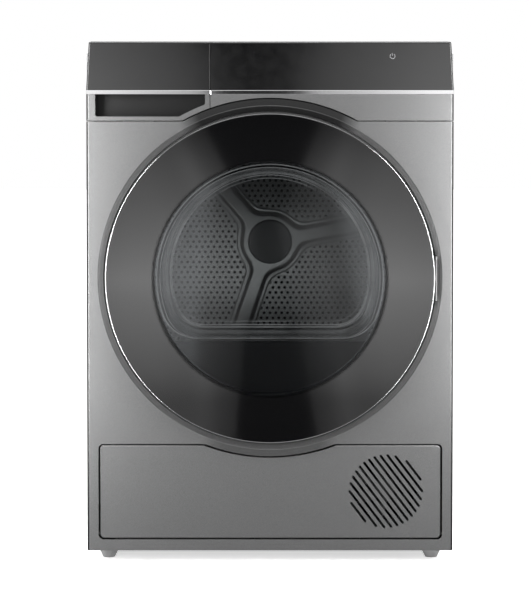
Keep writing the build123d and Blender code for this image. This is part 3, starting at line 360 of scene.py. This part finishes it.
def flake_paint(name, rough, metallic, painted_light=None):
    """Metallic lacquer: pale flakes in a grey base, an orange-peel bump and a thin clear coat.

    The last argument makes a factor for the colour from a place on the piece: painted shade for folds and
    corners that hold less light, and a painted highlight.
    """
    s = Shade(name)
    shader = s.principled(Metallic=metallic, Coat_Weight=0.12, Coat_Roughness=0.22)
    flakes = s.speckle(2600.0)
    cloud = s.noise(5.0, 4.0)
    peel = s.noise(420.0, 2.0)
    mixed = s.node("ShaderNodeMix", data_type="RGBA", blend_type="MULTIPLY")
    mixed.inputs["Factor"].default_value = 0.04
    s.link(s.mix_colour(s.spread(flakes, 1.0, 0.0), PAINT_DARK, PAINT_LIGHT), mixed.inputs["A"])
    s.link(cloud, mixed.inputs["B"])
    colour = mixed.outputs["Result"]
    # painted shade and painted highlight scale the paint's colour here
    if painted_light is not None:
        scaled = s.node("ShaderNodeVectorMath", operation="SCALE")
        s.link(colour, scaled.inputs["Vector"])
        s.link(painted_light(s), scaled.inputs["Scale"])
        colour = scaled.outputs["Vector"]
    s.link(colour, shader.inputs["Base Color"])
    s.link(s.spread(s.noise(60.0), rough - 0.006, rough + 0.006), shader.inputs["Roughness"])
    s.link(s.bump(peel, 0.12, 0.00004), shader.inputs["Normal"])
    return s.finish(shader.outputs["BSDF"])


def about_door(s):
    """A place's x, its height over the door's axis and its distance from that axis."""
    x, _, z = s.axes(s.place)
    up = s.sum("SUBTRACT", z, DOOR_Z)
    radius = s.sum("SQRT", s.sum("ADD", s.sum("MULTIPLY", x, x), s.sum("MULTIPLY", up, up)))
    return x, up, radius


def ring_painted_light(s):
    """Painted light on the sheet about the door: painted shade in crescents over and under it, a fine line
    inside that is a painted highlight over and under and painted shade at the sides, and painted shade on the
    rounded corners.
    """
    x, up, radius = about_door(s)
    aside = s.sum("ABSOLUTE", x)
    lean = s.sum("MULTIPLY", s.sum("ARCTAN2", aside, s.sum("ABSOLUTE", up)), math.degrees(1))
    over = s.sum("GREATER_THAN", up, 0.0)
    under = s.sum("SUBTRACT", 1.0, over)
    # painted shade: darker crescents over and under the door
    top = s.sum("MULTIPLY", s.ramp(lean, TOP_SHADE_SWEEP), over)
    bottom = s.sum("MULTIPLY", s.ramp(lean, UNDER_SHADE_SWEEP), under)
    top_crescent = s.sum("MULTIPLY", s.ramp(radius, TOP_SHADE_BAND), top)
    under_crescent = s.sum("MULTIPLY", s.ramp(radius, UNDER_SHADE_BAND), bottom)
    crescents = s.sum("ADD", top_crescent, under_crescent)
    # painted line: a highlight over and under the door, shade at the sides
    line_change = s.sum("SUBTRACT", s.ramp(lean, PAINTED_LINE_SWEEP), 1.0)
    line = s.sum("MULTIPLY", s.ramp(radius, PAINTED_LINE_BAND), line_change)
    # painted shade on the rounded corners outside the sheet's flat middle
    edge = s.sum("MAXIMUM", s.sum("LESS_THAN", aside, FLAT_HALF), s.corner())
    return s.sum("MULTIPLY", s.sum("ADD", s.sum("SUBTRACT", 1.0, crescents), line), edge)


def pocket_painted_shade(s):
    """The water drawer's front: painted shade that falls dark a few millimetres into its grip pocket, and on
    its rounded corners.
    """
    _, y, _ = s.axes(s.place)
    deep = s.ramp(y, [(FRONT_Y + depth, level) for depth, level in POCKET_SHADE_FALL])
    return s.sum("MULTIPLY", deep, s.corner())


def black_pane(name):
    """Black-backed glass of the control band, whose rounded corners shine less: painted shade, for a dark
    outline.
    """
    s = Shade(name)
    shader = s.principled(IOR=GLASS_IOR)
    cloud = s.noise(60.0, 2.0)
    s.link(s.clouded(cloud, BLACK_DARK, BLACK_LIGHT), shader.inputs["Base Color"])
    s.link(s.spread(cloud, 0.075, 0.095), shader.inputs["Roughness"])
    # painted shade: the rounded corners shine less, for a dark outline
    s.link(s.sum("MULTIPLY", s.corner(), 0.5), shader.inputs["Specular IOR Level"])
    return s.finish(shader.outputs["BSDF"])


def tinted_pane(name):
    """Door glass: clear over the sight tube and black-backed outside it, glossy all over."""
    s = Shade(name)
    _, _, radius = about_door(s)
    edge = s.node("ShaderNodeMapRange")
    edge.inputs["From Min"].default_value = WINDOW_R
    edge.inputs["From Max"].default_value = WINDOW_R + WINDOW_FADE
    s.link(radius, edge.inputs["Value"])

    smudge = s.spread(s.noise(9.0, 5.0), 0.045, 0.08)
    black = s.principled(Base_Color=(*BLACK_DARK, 1), IOR=GLASS_IOR)
    s.link(smudge, black.inputs["Roughness"])
    shine = s.node("ShaderNodeBsdfGlossy")
    shine.inputs["Color"].default_value = (1, 1, 1, 1)
    s.link(smudge, shine.inputs["Roughness"])
    window = s.mix_shader(s.fresnel(1.3), s.see_through((0.86, 0.87, 0.88)), shine.outputs["BSDF"])
    return s.finish(s.mix_shader(edge.outputs["Result"], window, black.outputs["BSDF"]))


def clear_glass(name):
    """Pressed glass: see-through face on, bright and milky where it is seen along its wall."""
    s = Shade(name)
    shine = s.node("ShaderNodeBsdfGlossy")
    shine.inputs["Roughness"].default_value = 0.06
    s.link(s.bump(s.noise(26.0, 2.0), 0.3, 0.0003), shine.inputs["Normal"])
    facing = s.node("ShaderNodeLayerWeight")
    facing.inputs["Blend"].default_value = 0.30
    clear = s.see_through((0.93, 0.95, 0.95))
    return s.finish(s.mix_shader(facing.outputs["Fresnel"], clear, shine.outputs["BSDF"]))


def flat_glass(name):
    """A flat clear pane that mirrors rather more than plain glass."""
    s = Shade(name)
    shine = s.node("ShaderNodeBsdfGlossy")
    s.link(s.spread(s.noise(14.0), 0.012, 0.03), shine.inputs["Roughness"])
    return s.finish(s.mix_shader(s.fresnel(GLASS_IOR), s.see_through(), shine.outputs["BSDF"]))


def glass_edge(name):
    """A rolled glass edge: half see-through, with a painted glint along it that glows though it is no lamp,
    broken by a noise.
    """
    s = Shade(name)
    # painted glint: a pale base and a glow
    shine = s.principled(
        Base_Color=(0.62, 0.62, 0.62, 1), Roughness=0.2,
        Emission_Color=(0.95, 0.95, 0.95, 1), Emission_Strength=EDGE_PAINTED_GLOW,
    )
    glint = s.spread(s.noise(22.0, 3.0), 0.25, 0.75)
    return s.finish(s.mix_shader(glint, s.see_through(), shine.outputs["BSDF"]))


def fabric_felt(name, dark, light):
    """Wool felt: fine fibres with a soft sheen."""
    s = Shade(name)
    shader = s.principled(Roughness=0.95, Sheen_Weight=0.4)
    fibres = s.noise(900.0, 4.0)
    s.link(s.clouded(fibres, dark, light), shader.inputs["Base Color"])
    s.link(s.bump(fibres, 0.8, 0.0004), shader.inputs["Normal"])
    return s.finish(shader.outputs["BSDF"])


# a surface is written as name, dark and light colour, metallic, roughness range, bump grain, bump depth
MATERIALS = {
    # the front sheet's paint carries painted shade and a painted highlight about the door
    "front_sheet": flake_paint("front_sheet_paint", 0.36, 0.9, ring_painted_light),
    "cabinet_sheet": flake_paint("cabinet_paint", 0.42, 0.8),
    # the band's paint carries painted shade on its rounded corners
    "band_plastic": flake_paint("band_paint", 0.36, 0.9, Shade.corner),
    "black_glass": black_pane("black_pane"),
    "bright_trim": surface(
        "polished_trim", (0.86, 0.86, 0.87), (0.92, 0.92, 0.93), 1.0, (0.03, 0.06), 300, 0.000005,
    ),
    "bead_metal": surface(
        "bead_metal", (0.34, 0.34, 0.345), (0.42, 0.42, 0.425), 1.0, (0.10, 0.14), 300, 0.000005,
    ),
    "top_board": surface(
        "laminate", (0.115, 0.117, 0.119), (0.135, 0.137, 0.139), 0.0, (0.42, 0.58), 700, 0.0001,
    ),
    "galvanised": surface(
        "zinc_sheet", (0.36, 0.37, 0.38), (0.52, 0.53, 0.54), 0.9, (0.34, 0.52), 90, 0.00004,
    ),
    "dark_moulding": surface(
        "black_moulding", (0.004, 0.004, 0.0042), (0.009, 0.009, 0.0095), 0.0, (0.40, 0.55), 1400, 0.00003,
    ),
    "grey_moulding": surface(
        "grey_moulding", (0.27, 0.27, 0.273), (0.34, 0.34, 0.343), 0.0, (0.4, 0.56), 1400, 0.0001,
    ),
    "lifter_moulding": surface(
        "lifter_moulding", (0.34, 0.34, 0.34), (0.42, 0.42, 0.42), 0.0, (0.3, 0.42), 900, 0.0001,
    ),
    "board": surface(
        "circuit_board", (0.01, 0.06, 0.03), (0.015, 0.09, 0.045), 0.0, (0.35, 0.5), 500, 0.00005,
    ),
    "tinted_glass": tinted_pane("tinted_pane"),
    "clear_glass": clear_glass("pressed_glass"),
    "flat_glass": flat_glass("flat_glass"),
    "glass_edge": glass_edge("pressed_glass_edge"),
    "seal_rubber": surface(
        "seal_rubber", (0.008, 0.008, 0.008), (0.014, 0.014, 0.014), 0.0, (0.55, 0.75), 900, 0.0001,
    ),
    "tyre_rubber": surface(
        "tyre_rubber", (0.014, 0.014, 0.014), (0.03, 0.03, 0.03), 0.0, (0.6, 0.8), 700, 0.0002,
    ),
    "belt_rubber": surface(
        "belt_rubber", (0.012, 0.012, 0.012), (0.02, 0.02, 0.02), 0.0, (0.55, 0.7), 900, 0.0002,
    ),
    "felt": fabric_felt("wool_felt", (0.30, 0.285, 0.26), (0.44, 0.42, 0.38)),
    "drum_steel": surface(
        "drum_steel", (0.46, 0.46, 0.455), (0.56, 0.56, 0.55), 1.0, (0.28, 0.40), 240, 0.00001, (1, 6, 1),
    ),
    "plain_steel": surface(
        "plated_steel", (0.42, 0.42, 0.41), (0.52, 0.52, 0.5), 1.0, (0.26, 0.42), 200, 0.00003,
    ),
    "fins": surface(
        "fin_aluminium", (0.6, 0.61, 0.62), (0.7, 0.71, 0.72), 1.0, (0.3, 0.45), 260, 0.00004, (1, 1, 9),
    ),
    "copper_pipe": surface(
        "copper_pipe", (0.55, 0.26, 0.15), (0.68, 0.35, 0.22), 1.0, (0.22, 0.4), 120, 0.00003,
    ),
    "pot_paint": surface(
        "pot_enamel", (0.008, 0.008, 0.008), (0.016, 0.016, 0.016), 0.0, (0.28, 0.42), 240, 0.0001,
    ),
    "tank_plastic": surface(
        "tank_plastic", (0.34, 0.35, 0.355), (0.39, 0.40, 0.405), 0.0, (0.32, 0.46), 380, 0.0002,
        Subsurface_Weight=0.15, Subsurface_Scale=0.01,
    ),
}

for entry in frame["record"]["subparts"]:
    mesh = NODES[entry["node"]].data
    mesh.materials.clear()
    mesh.materials.append(MATERIALS[entry["material_slot"]])
foot_moulding = surface(
    "foot_moulding", (0.15, 0.15, 0.15), (0.19, 0.19, 0.19), 0.0, (0.4, 0.56), 1400, 0.0001,
)
for foot in ("foot_left", "foot_right", "rear_feet"):
    NODES[foot].data.materials[0] = foot_moulding
# the drawer front's paint, with painted shade in its grip pocket and on its corners
NODES["container_front"].data.materials[0] = flake_paint("drawer_paint", 0.36, 0.9, pocket_painted_shade)


# ==== mesh helpers ====


def add_mesh(name, verts, faces, material, body, smooth=True):
    """A new piece that rides a body, with doubled points merged and its faces turned outwards."""
    mesh = bpy.data.meshes.new(name)
    mesh.from_pydata([tuple(v) for v in verts], [], faces)
    mesh.validate()
    mesh.materials.append(material)
    obj = bpy.data.objects.new(name, mesh)
    bpy.context.scene.collection.objects.link(obj)
    bm = bmesh.new()
    bm.from_mesh(mesh)
    bmesh.ops.remove_doubles(bm, verts=bm.verts, dist=1e-6)
    bmesh.ops.recalc_face_normals(bm, faces=bm.faces)
    bm.to_mesh(mesh)
    bm.free()
    for polygon in mesh.polygons:
        polygon.use_smooth = smooth
    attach(obj, body)
    return obj


def lathe(name, profile, centre_z, material, body, segments=192):
    """A ring about an axis along Y, from a closed profile of (radius, y) points."""
    verts, faces = [], []
    count = len(profile)
    for k in range(segments):
        a = 2 * math.pi * k / segments
        for radius, y in profile:
            verts.append((radius * math.cos(a), y, centre_z + radius * math.sin(a)))
    for k in range(segments):
        here, ahead = k * count, (k + 1) % segments * count
        for i in range(count):
            j = (i + 1) % count
            faces.append((here + i, here + j, ahead + j, ahead + i))
    return add_mesh(name, verts, faces, material, body)


def disc_profile(radius, front, back):
    return [(AXIS_R, front), (radius, front), (radius, back), (AXIS_R, back)]


def block(name, low, high, material, body):
    """A plain box between two opposite corners."""
    verts = [(x, y, z) for x in (low[0], high[0]) for y in (low[1], high[1]) for z in (low[2], high[2])]
    add_mesh(name, verts, BLOCK_SIDES, material, body, smooth=False)


def sharpen(obj, angle=35):
    """Keeps a smooth-shaded piece's real corners crisp."""
    bm = bmesh.new()
    bm.from_mesh(obj.data)
    for edge in bm.edges:
        if len(edge.link_faces) == 2 and edge.calc_face_angle() > math.radians(angle):
            edge.smooth = False
    bm.to_mesh(obj.data)
    bm.free()


# ==== door ====


def dome_y(radius):
    """How far the dome has fallen back from its apex: nothing at the axis, DOME_RISE at the edge."""
    sphere = (GLASS_R**2 + DOME_RISE**2) / (2 * DOME_RISE)
    return sphere - math.sqrt(sphere**2 - radius**2)


def door_pane():
    """The glass: a dome of many fine rings, so that its reflections stay smooth."""
    rings = [GLASS_R * i / DOME_RINGS for i in range(1, DOME_RINGS + 1)]
    front = [(r, APEX_Y + dome_y(r)) for r in [AXIS_R] + rings]
    back = [(r, y + PANE_THICK) for r, y in reversed(front)]
    pane = lathe("door_pane", front + back, DOOR_Z, MATERIALS["tinted_glass"], "door", 256)
    sharpen(pane, 50)
    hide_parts("door_glass")


def trim_ring():
    """The bright edge, as a rounded bead."""
    low, high = TRIM_LOW.y, TRIM_HIGH.y
    profile = [(DOOR_R - 2 * BEAD_R, high)]
    for i in range(BEAD_STEPS + 1):
        a = math.pi * i / BEAD_STEPS
        profile.append((DOOR_R - BEAD_R - BEAD_R * math.cos(a), low + BEAD_R - BEAD_R * math.sin(a)))
    profile.append((DOOR_R, high))
    ring = lathe("trim_bead", profile, DOOR_Z, MATERIALS["bead_metal"], "door", 256)
    sharpen(ring, 50)
    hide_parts("door_trim_ring")


def flat_circle(radius, centre_z, flat_z, corner, count=160):
    """Points round a circle with a flat bottom and rounded lower corners, from the top."""
    drop = centre_z - flat_z
    reach = radius - corner
    across = math.sqrt(reach**2 - (drop - corner) ** 2)
    join = math.atan2(across, -(drop - corner))
    arc = radius * join
    bend = corner * (math.pi - join)
    total = arc + bend + across
    half = []
    for k in range(count // 2 + 1):
        s = total * k / (count // 2)
        if s <= arc:
            a = s / radius
            half.append((radius * math.sin(a), centre_z + radius * math.cos(a)))
        elif s <= arc + bend:
            a = join + (s - arc) / corner
            half.append((across + corner * math.sin(a), flat_z + corner + corner * math.cos(a)))
        else:
            half.append((across - (s - arc - bend), flat_z))
    return half + [(-x, z) for x, z in reversed(half[1:-1])]


def bowl_outline(radius, lift, corner):
    return flat_circle(radius, DOOR_Z + lift * CENTRE_RISE, BOWL_FLAT_Z + lift, corner)


def bowl_piece():
    """The glass bowl: a flange, a rolled shoulder, a tapering wall and a rounded floor."""
    rim_y = BOWL_LOW.y
    depth = BOWL_HIGH.y - rim_y
    verts, faces = [], []
    for radius, y, lift, corner in BOWL_STAGES:
        for x, z in bowl_outline(radius, lift, corner):
            verts.append((x, rim_y + y * depth / STAGE_DEPTH + FLANGE_GAP, z))
    last_row = len(BOWL_STAGES) - 1
    count = len(verts) // len(BOWL_STAGES)
    for row in range(last_row):
        for i in range(count):
            j = (i + 1) % count
            faces.append((row * count + i, row * count + j, (row + 1) * count + j, (row + 1) * count + i))
    faces.append(tuple(last_row * count + i for i in range(count)))
    bowl = add_mesh("glass_bowl", verts, faces, MATERIALS["clear_glass"], "door")
    thick = bowl.modifiers.new("wall", "SOLIDIFY")
    thick.thickness = BOWL_WALL
    thick.offset = -1
    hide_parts("door_bowl")


def inner_pane():
    """The flat second pane in the sight tube, which doubles the softboxes with upright edges."""
    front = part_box("door_liner")[0].y + INNER_PANE_DEPTH
    profile = disc_profile(WINDOW_R - 0.002, front, front + INNER_PANE_THICK)
    pane = lathe("inner_pane", profile, DOOR_Z, MATERIALS["flat_glass"], "door")
    for vertex in pane.data.vertices:
        vertex.co.y -= vertex.co.x * PANE_TURN
    sharpen(pane)


def bowl_edges():
    """The bowl's ground rim and the rolled edge of its floor, where the pressed glass gathers light, as rods
    with a painted glint.
    """
    for name, radius, y, lift, corner, half in BOWL_EDGES:
        path = bowl_outline(radius, lift, corner)
        verts, faces = [], []
        count = len(path)
        for i, (x, z) in enumerate(path):
            x0, z0 = path[i - 1]
            x1, z1 = path[(i + 1) % count]
            out = Vector((z0 - z1, 0, x1 - x0)).normalized()
            for k in range(ROD_SIDES):
                a = 2 * math.pi * k / ROD_SIDES
                place = Vector((x, y, z)) + out * (half * math.cos(a)) + Vector((0, half * math.sin(a), 0))
                verts.append(place)
        for i in range(count):
            here, ahead = i * ROD_SIDES, (i + 1) % count * ROD_SIDES
            for k in range(ROD_SIDES):
                n = (k + 1) % ROD_SIDES
                faces.append((here + k, here + n, ahead + n, ahead + k))
        add_mesh(name, verts, faces, MATERIALS["glass_edge"], "door")


def sight_ring():
    """The bright turned edge of the sight tube behind the glass."""
    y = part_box("door_liner")[0].y
    profile = [(WINDOW_R - inwards, y + depth) for inwards, depth in SIGHT_STEPS]
    lathe("sight_ring", profile, DOOR_Z, MATERIALS["bright_trim"], "door")


# ==== drum ====


def star_distance(x, z):
    """How far a point lies outside the star's outline, three arms and a boss; negative inside it."""
    u, v = x, z - DRUM_Z
    distance = math.hypot(u, v) - BOSS_R
    for angle in ARM_ANGLES:
        a = math.radians(angle)
        along = u * math.cos(a) + v * math.sin(a)
        if along > 0:
            side = abs(-u * math.sin(a) + v * math.cos(a)) - ARM_HALF
            h = max(ARM_BLEND - abs(distance - side), 0.0) / ARM_BLEND
            distance = min(distance, side) - h * h * ARM_BLEND * 0.25
    return distance


def shoulder(distance):
    """Height over the sheet: full inside the outline, falling across it, with a bead at its foot."""
    t = min(max((STAR_SLOPE / 2 - distance) / STAR_SLOPE, 0.0), 1.0)
    bead = FOOT_BEAD * math.exp(-(((distance - FOOT_BEAD_AT) / FOOT_BEAD_WIDE) ** 2))
    return STAR_LIFT * t * t * (3 - 2 * t) + bead


def perforated_back():
    """Hexagon cells over the whole disc, with a round hole in each that the raised star leaves free."""
    verts, faces = [], []
    spokes = [math.radians(360 / CELL_POINTS * k) for k in range(CELL_POINTS)]
    rows = int(DRUM_R / (HOLE_PITCH * ROW_RATIO)) + 1
    for row in range(-rows, rows + 1):
        for col in range(-rows, rows + 1):
            cx = (col + (row % 2) / 2) * HOLE_PITCH
            cz = row * HOLE_PITCH * ROW_RATIO
            if math.hypot(cx, cz) > SHEET_R:
                continue
            base = len(verts)
            for k, a in enumerate(spokes):
                corner = HOLE_PITCH / math.sqrt(3) if k % 2 == 1 else HOLE_PITCH / 2
                verts.append((cx + corner * math.cos(a), SHEET_Y, DRUM_Z + cz + corner * math.sin(a)))
            if star_distance(cx, DRUM_Z + cz) <= HOLE_MARGIN:
                faces.append(tuple(base + k for k in range(CELL_POINTS)))
                continue
            for ring_r, ring_y in ((HOLE_R * HOLE_FLARE, 0.0), (HOLE_R, HOLE_DEPTH)):
                for a in spokes:
                    place_z = DRUM_Z + cz + ring_r * math.sin(a)
                    verts.append((cx + ring_r * math.cos(a), SHEET_Y + ring_y, place_z))
            for ring in (0, CELL_POINTS):
                for k in range(CELL_POINTS):
                    here = base + ring + k
                    ahead = base + ring + (k + 1) % CELL_POINTS
                    faces.append((here, ahead, ahead + CELL_POINTS, here + CELL_POINTS))
    steel = MATERIALS["drum_steel"]
    back = add_mesh("drum_back_sheet", verts, faces, steel, "drum", smooth=False)
    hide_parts("drum_back")
    # a black disc behind the perforated sheet: painted shade, seen through the holes
    shade = disc_profile(SHADE_R, SHEET_Y + 0.004, SHEET_Y + 0.005)
    lathe("drum_back_painted_shade", shade, DRUM_Z, MATERIALS["dark_moulding"], "drum", 96)
    rim = [(DRUM_R - inwards, SHEET_Y + behind) for inwards, behind in RIM_STEPS]
    lathe("drum_back_rim", rim, DRUM_Z, steel, "drum")


def raised_star():
    """The star as a fine height field that tucks into the perforated sheet."""
    index, verts, faces = {}, [], []
    n = int(STAR_R / STAR_STEP)
    for i in range(-n, n + 1):
        for j in range(-n, n + 1):
            x, z = i * STAR_STEP, DRUM_Z + j * STAR_STEP
            if math.hypot(x, z - DRUM_Z) > STAR_R:
                continue
            d = star_distance(x, z)
            if d < STAR_REACH:
                index[i, j] = len(verts)
                tuck = TUCK_DEPTH if d > TUCK_FROM else 0.0
                verts.append((x, SHEET_Y - shoulder(d) + tuck, z))
    for (i, j) in index:
        square = [(i, j), (i + 1, j), (i + 1, j + 1), (i, j + 1)]
        if all(p in index for p in square):
            faces.append(tuple(index[p] for p in square))
    add_mesh("drum_star", verts, faces, MATERIALS["drum_steel"], "drum")


# ==== control band ====


def power_icon():
    """A faint ring with a stroke, the usual sign for on and off."""
    s = Shade("icon_print")
    shader = s.principled(Roughness=0.4)
    s.link(s.clouded(s.noise(90.0), (0.09, 0.09, 0.093), (0.13, 0.13, 0.133)), shader.inputs["Base Color"])
    printed = s.finish(shader.outputs["BSDF"])
    middle = ICON_CENTRE
    verts, faces = [], []
    gap = math.radians(ICON_GAP)
    for i in range(ICON_STEPS + 1):
        a = math.pi / 2 + gap + (2 * math.pi - 2 * gap) * i / ICON_STEPS
        for radius in ICON_RADII:
            for y in ICON_DEPTHS:
                verts.append((middle.x + radius * math.cos(a), middle.y + y, middle.z + radius * math.sin(a)))
    for i in range(ICON_STEPS):
        a, b = i * 4, i * 4 + 4
        for p, q in ((0, 1), (1, 3), (3, 2), (2, 0)):
            faces.append((a + p, a + q, b + q, b + p))
    last = ICON_STEPS * 4
    faces += [(0, 1, 3, 2), (last, last + 2, last + 3, last + 1)]
    add_mesh("power_ring", verts, faces, printed, "cabinet", smooth=False)
    low = (middle.x - STROKE_HALF, middle.y + ICON_DEPTHS[0], middle.z + STROKE_SPAN[0])
    high = (middle.x + STROKE_HALF, middle.y + ICON_DEPTHS[1], middle.z + STROKE_SPAN[1])
    block("power_stroke", low, high, printed, "cabinet")


def bright_bar(cad_node, body):
    """A bright bar whose face leans a little towards the floor, so that it mirrors the softboxes."""
    low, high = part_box(cad_node)
    lean = (high.z - low.z) * math.tan(math.radians(BAR_LEAN))
    verts = []
    for x in (low.x, high.x):
        verts += [(x, low.y + lean, low.z), (x, low.y, high.z), (x, high.y, high.z), (x, high.y, low.z)]
    sides = [(0, 1, 2, 3), (4, 7, 6, 5), (0, 4, 5, 1), (1, 5, 6, 2), (2, 6, 7, 3), (3, 7, 4, 0)]
    trim = MATERIALS["bright_trim"]
    bar = add_mesh(cad_node + "_bar", verts, sides, trim, body, smooth=False)
    soft = bar.modifiers.new("rounding", "BEVEL")
    soft.width = BAR_ROUNDING
    soft.segments = 2
    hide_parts(cad_node)


def pane_seam():
    """A thin soft edging down the drawer glass, where the two panes meet."""
    low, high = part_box("container_glass")
    start = (high.x - 0.0007, low.y - 0.00015, low.z + 0.0005)
    end = (high.x, low.y + 0.002, high.z - 0.003)
    block("pane_seam", start, end, MATERIALS["seal_rubber"], "water_drawer")


# ==== studio ====


def studio_world():
    """Two tall softboxes in front with a dark gap between them, and an even room round about."""
    w = Tree(bpy.data.worlds.new("studio"))
    x, y, z = w.axes(w.node("ShaderNodeTexCoord").outputs["Generated"])
    ahead = w.sum("MULTIPLY", y, -1.0)
    degree = math.degrees(1)
    turned = w.sum("MULTIPLY", w.sum("ARCTAN2", x, ahead), degree)
    upward = w.sum("MULTIPLY", w.sum("ARCSINE", z), degree)
    off_axis = w.sum("MULTIPLY", w.sum("ARCCOSINE", ahead), degree)

    above = w.sum("SUBTRACT", upward, GAP_WAIST)
    below = w.sum("SUBTRACT", GAP_WAIST, upward)
    middle = w.sum("SUBTRACT", w.sum("MULTIPLY", below, GAP_SHIFT), GAP_ASIDE)
    across = w.sum("ABSOLUTE", w.sum("SUBTRACT", turned, middle))
    flare_over = w.sum("MULTIPLY", above, GAP_FLARE_OVER)
    flare_under = w.sum("MULTIPLY", below, GAP_FLARE_UNDER)
    past_gap = w.sum("SUBTRACT", across, w.sum("MAXIMUM", flare_over, flare_under))
    boxes = w.sum("MULTIPLY", w.ramp(past_gap, SOFTBOX_ACROSS), w.ramp(upward, SOFTBOX_UPWARD))
    front = w.sum("MULTIPLY", boxes, SOFTBOX_LEVEL)

    outside = w.ramp(off_axis, ROOM_SHARE)
    room_part = w.sum("MULTIPLY", w.ramp(upward, ROOM_UPWARD), outside)
    front_part = w.sum("MULTIPLY", front, w.sum("SUBTRACT", 1.0, outside))
    soft = w.node("ShaderNodeBackground")
    soft.inputs["Color"].default_value = (1, 1, 1, 1)
    w.link(w.sum("ADD", room_part, front_part), soft.inputs["Strength"])
    white = w.node("ShaderNodeBackground")
    white.inputs["Color"].default_value = (1, 1, 1, 1)
    seen = w.node("ShaderNodeLightPath").outputs["Is Camera Ray"]
    mixed = w.mix_shader(seen, soft.outputs["Background"], white.outputs["Background"])
    w.link(mixed, w.node("ShaderNodeOutputWorld").inputs["Surface"])
    bpy.context.scene.world = w.owner


def area(name, place, aim, width, height, power):
    """A rectangular light at place that faces aim and is not seen itself."""
    light = bpy.data.lights.new(name, "AREA")
    light.shape = "RECTANGLE"
    light.size = width
    light.size_y = height
    light.energy = power
    obj = bpy.data.objects.new(name, light)
    obj.location = place
    obj.rotation_euler = (Vector(aim) - Vector(place)).to_track_quat("-Z", "Y").to_euler()
    obj.visible_camera = False
    bpy.context.scene.collection.objects.link(obj)


def studio():
    """The room, a pale floor and soft lights."""
    bpy.context.scene.view_settings.view_transform = "Standard"
    studio_world()
    s = Shade("floor_paint")
    shader = s.principled(Roughness=0.7, Emission_Color=(1, 1, 1, 1), Emission_Strength=FLOOR_GLOW)
    s.link(s.clouded(s.noise(0.8), (0.92, 0.92, 0.92), (0.95, 0.95, 0.95)), shader.inputs["Base Color"])
    mesh = bpy.data.meshes.new("floor")
    corners = [(FLOOR_HALF * x, FLOOR_HALF * y, 0) for x, y in ((-1, -1), (1, -1), (1, 1), (-1, 1))]
    mesh.from_pydata(corners, [], [(0, 1, 2, 3)])
    mesh.materials.append(s.finish(shader.outputs["BSDF"]))
    floor = bpy.data.objects.new("floor", mesh)
    floor.visible_glossy = False
    bpy.context.scene.collection.objects.link(floor)

    area("left_strip", (-0.60, -0.76, 0.55), (-0.28, FRONT_Y, 0.50), STRIP_WIDE, STRIP_TALL, STRIP_POWER)
    area("right_strip", (0.60, -0.76, 0.64), (0.28, FRONT_Y, 0.58), STRIP_WIDE, STRIP_TALL, STRIP_POWER)
    area("overhead", (0, -0.6, 2.6), (0, 0, 0.4), OVERHEAD_SIZE, OVERHEAD_SIZE, OVERHEAD_POWER)


def camera():
    """Level with the upper third, three metres out, with a long lens."""
    data = bpy.data.cameras.new("camera")
    data.sensor_width = 36
    data.lens = LENS
    data.shift_x = SHIFT_X
    data.shift_y = SHIFT_Y
    obj = bpy.data.objects.new("camera", data)
    obj.location = (0, FRONT_Y - CAMERA_AWAY, CAMERA_Z)
    obj.rotation_euler = (math.radians(90 - CAMERA_DIP), 0, 0)
    bpy.context.scene.collection.objects.link(obj)
    bpy.context.scene.camera = obj


def drum_lamp():
    """A weak lamp in the drum, a little under its axis, which lights the drum's back."""
    area("drum_lamp", (-0.04, -0.10, DRUM_Z - 0.06), (0, 0.24, DRUM_Z - 0.03), 0.25, 0.15, DRUM_LAMP_POWER)


camera()
studio()
door_pane()
trim_ring()
inner_pane()
bowl_piece()
bowl_edges()
sight_ring()
perforated_back()
raised_star()
power_icon()
bright_bar("trim_strip", "cabinet")
bright_bar("container_trim", "water_drawer")
pane_seam()
drum_lamp()
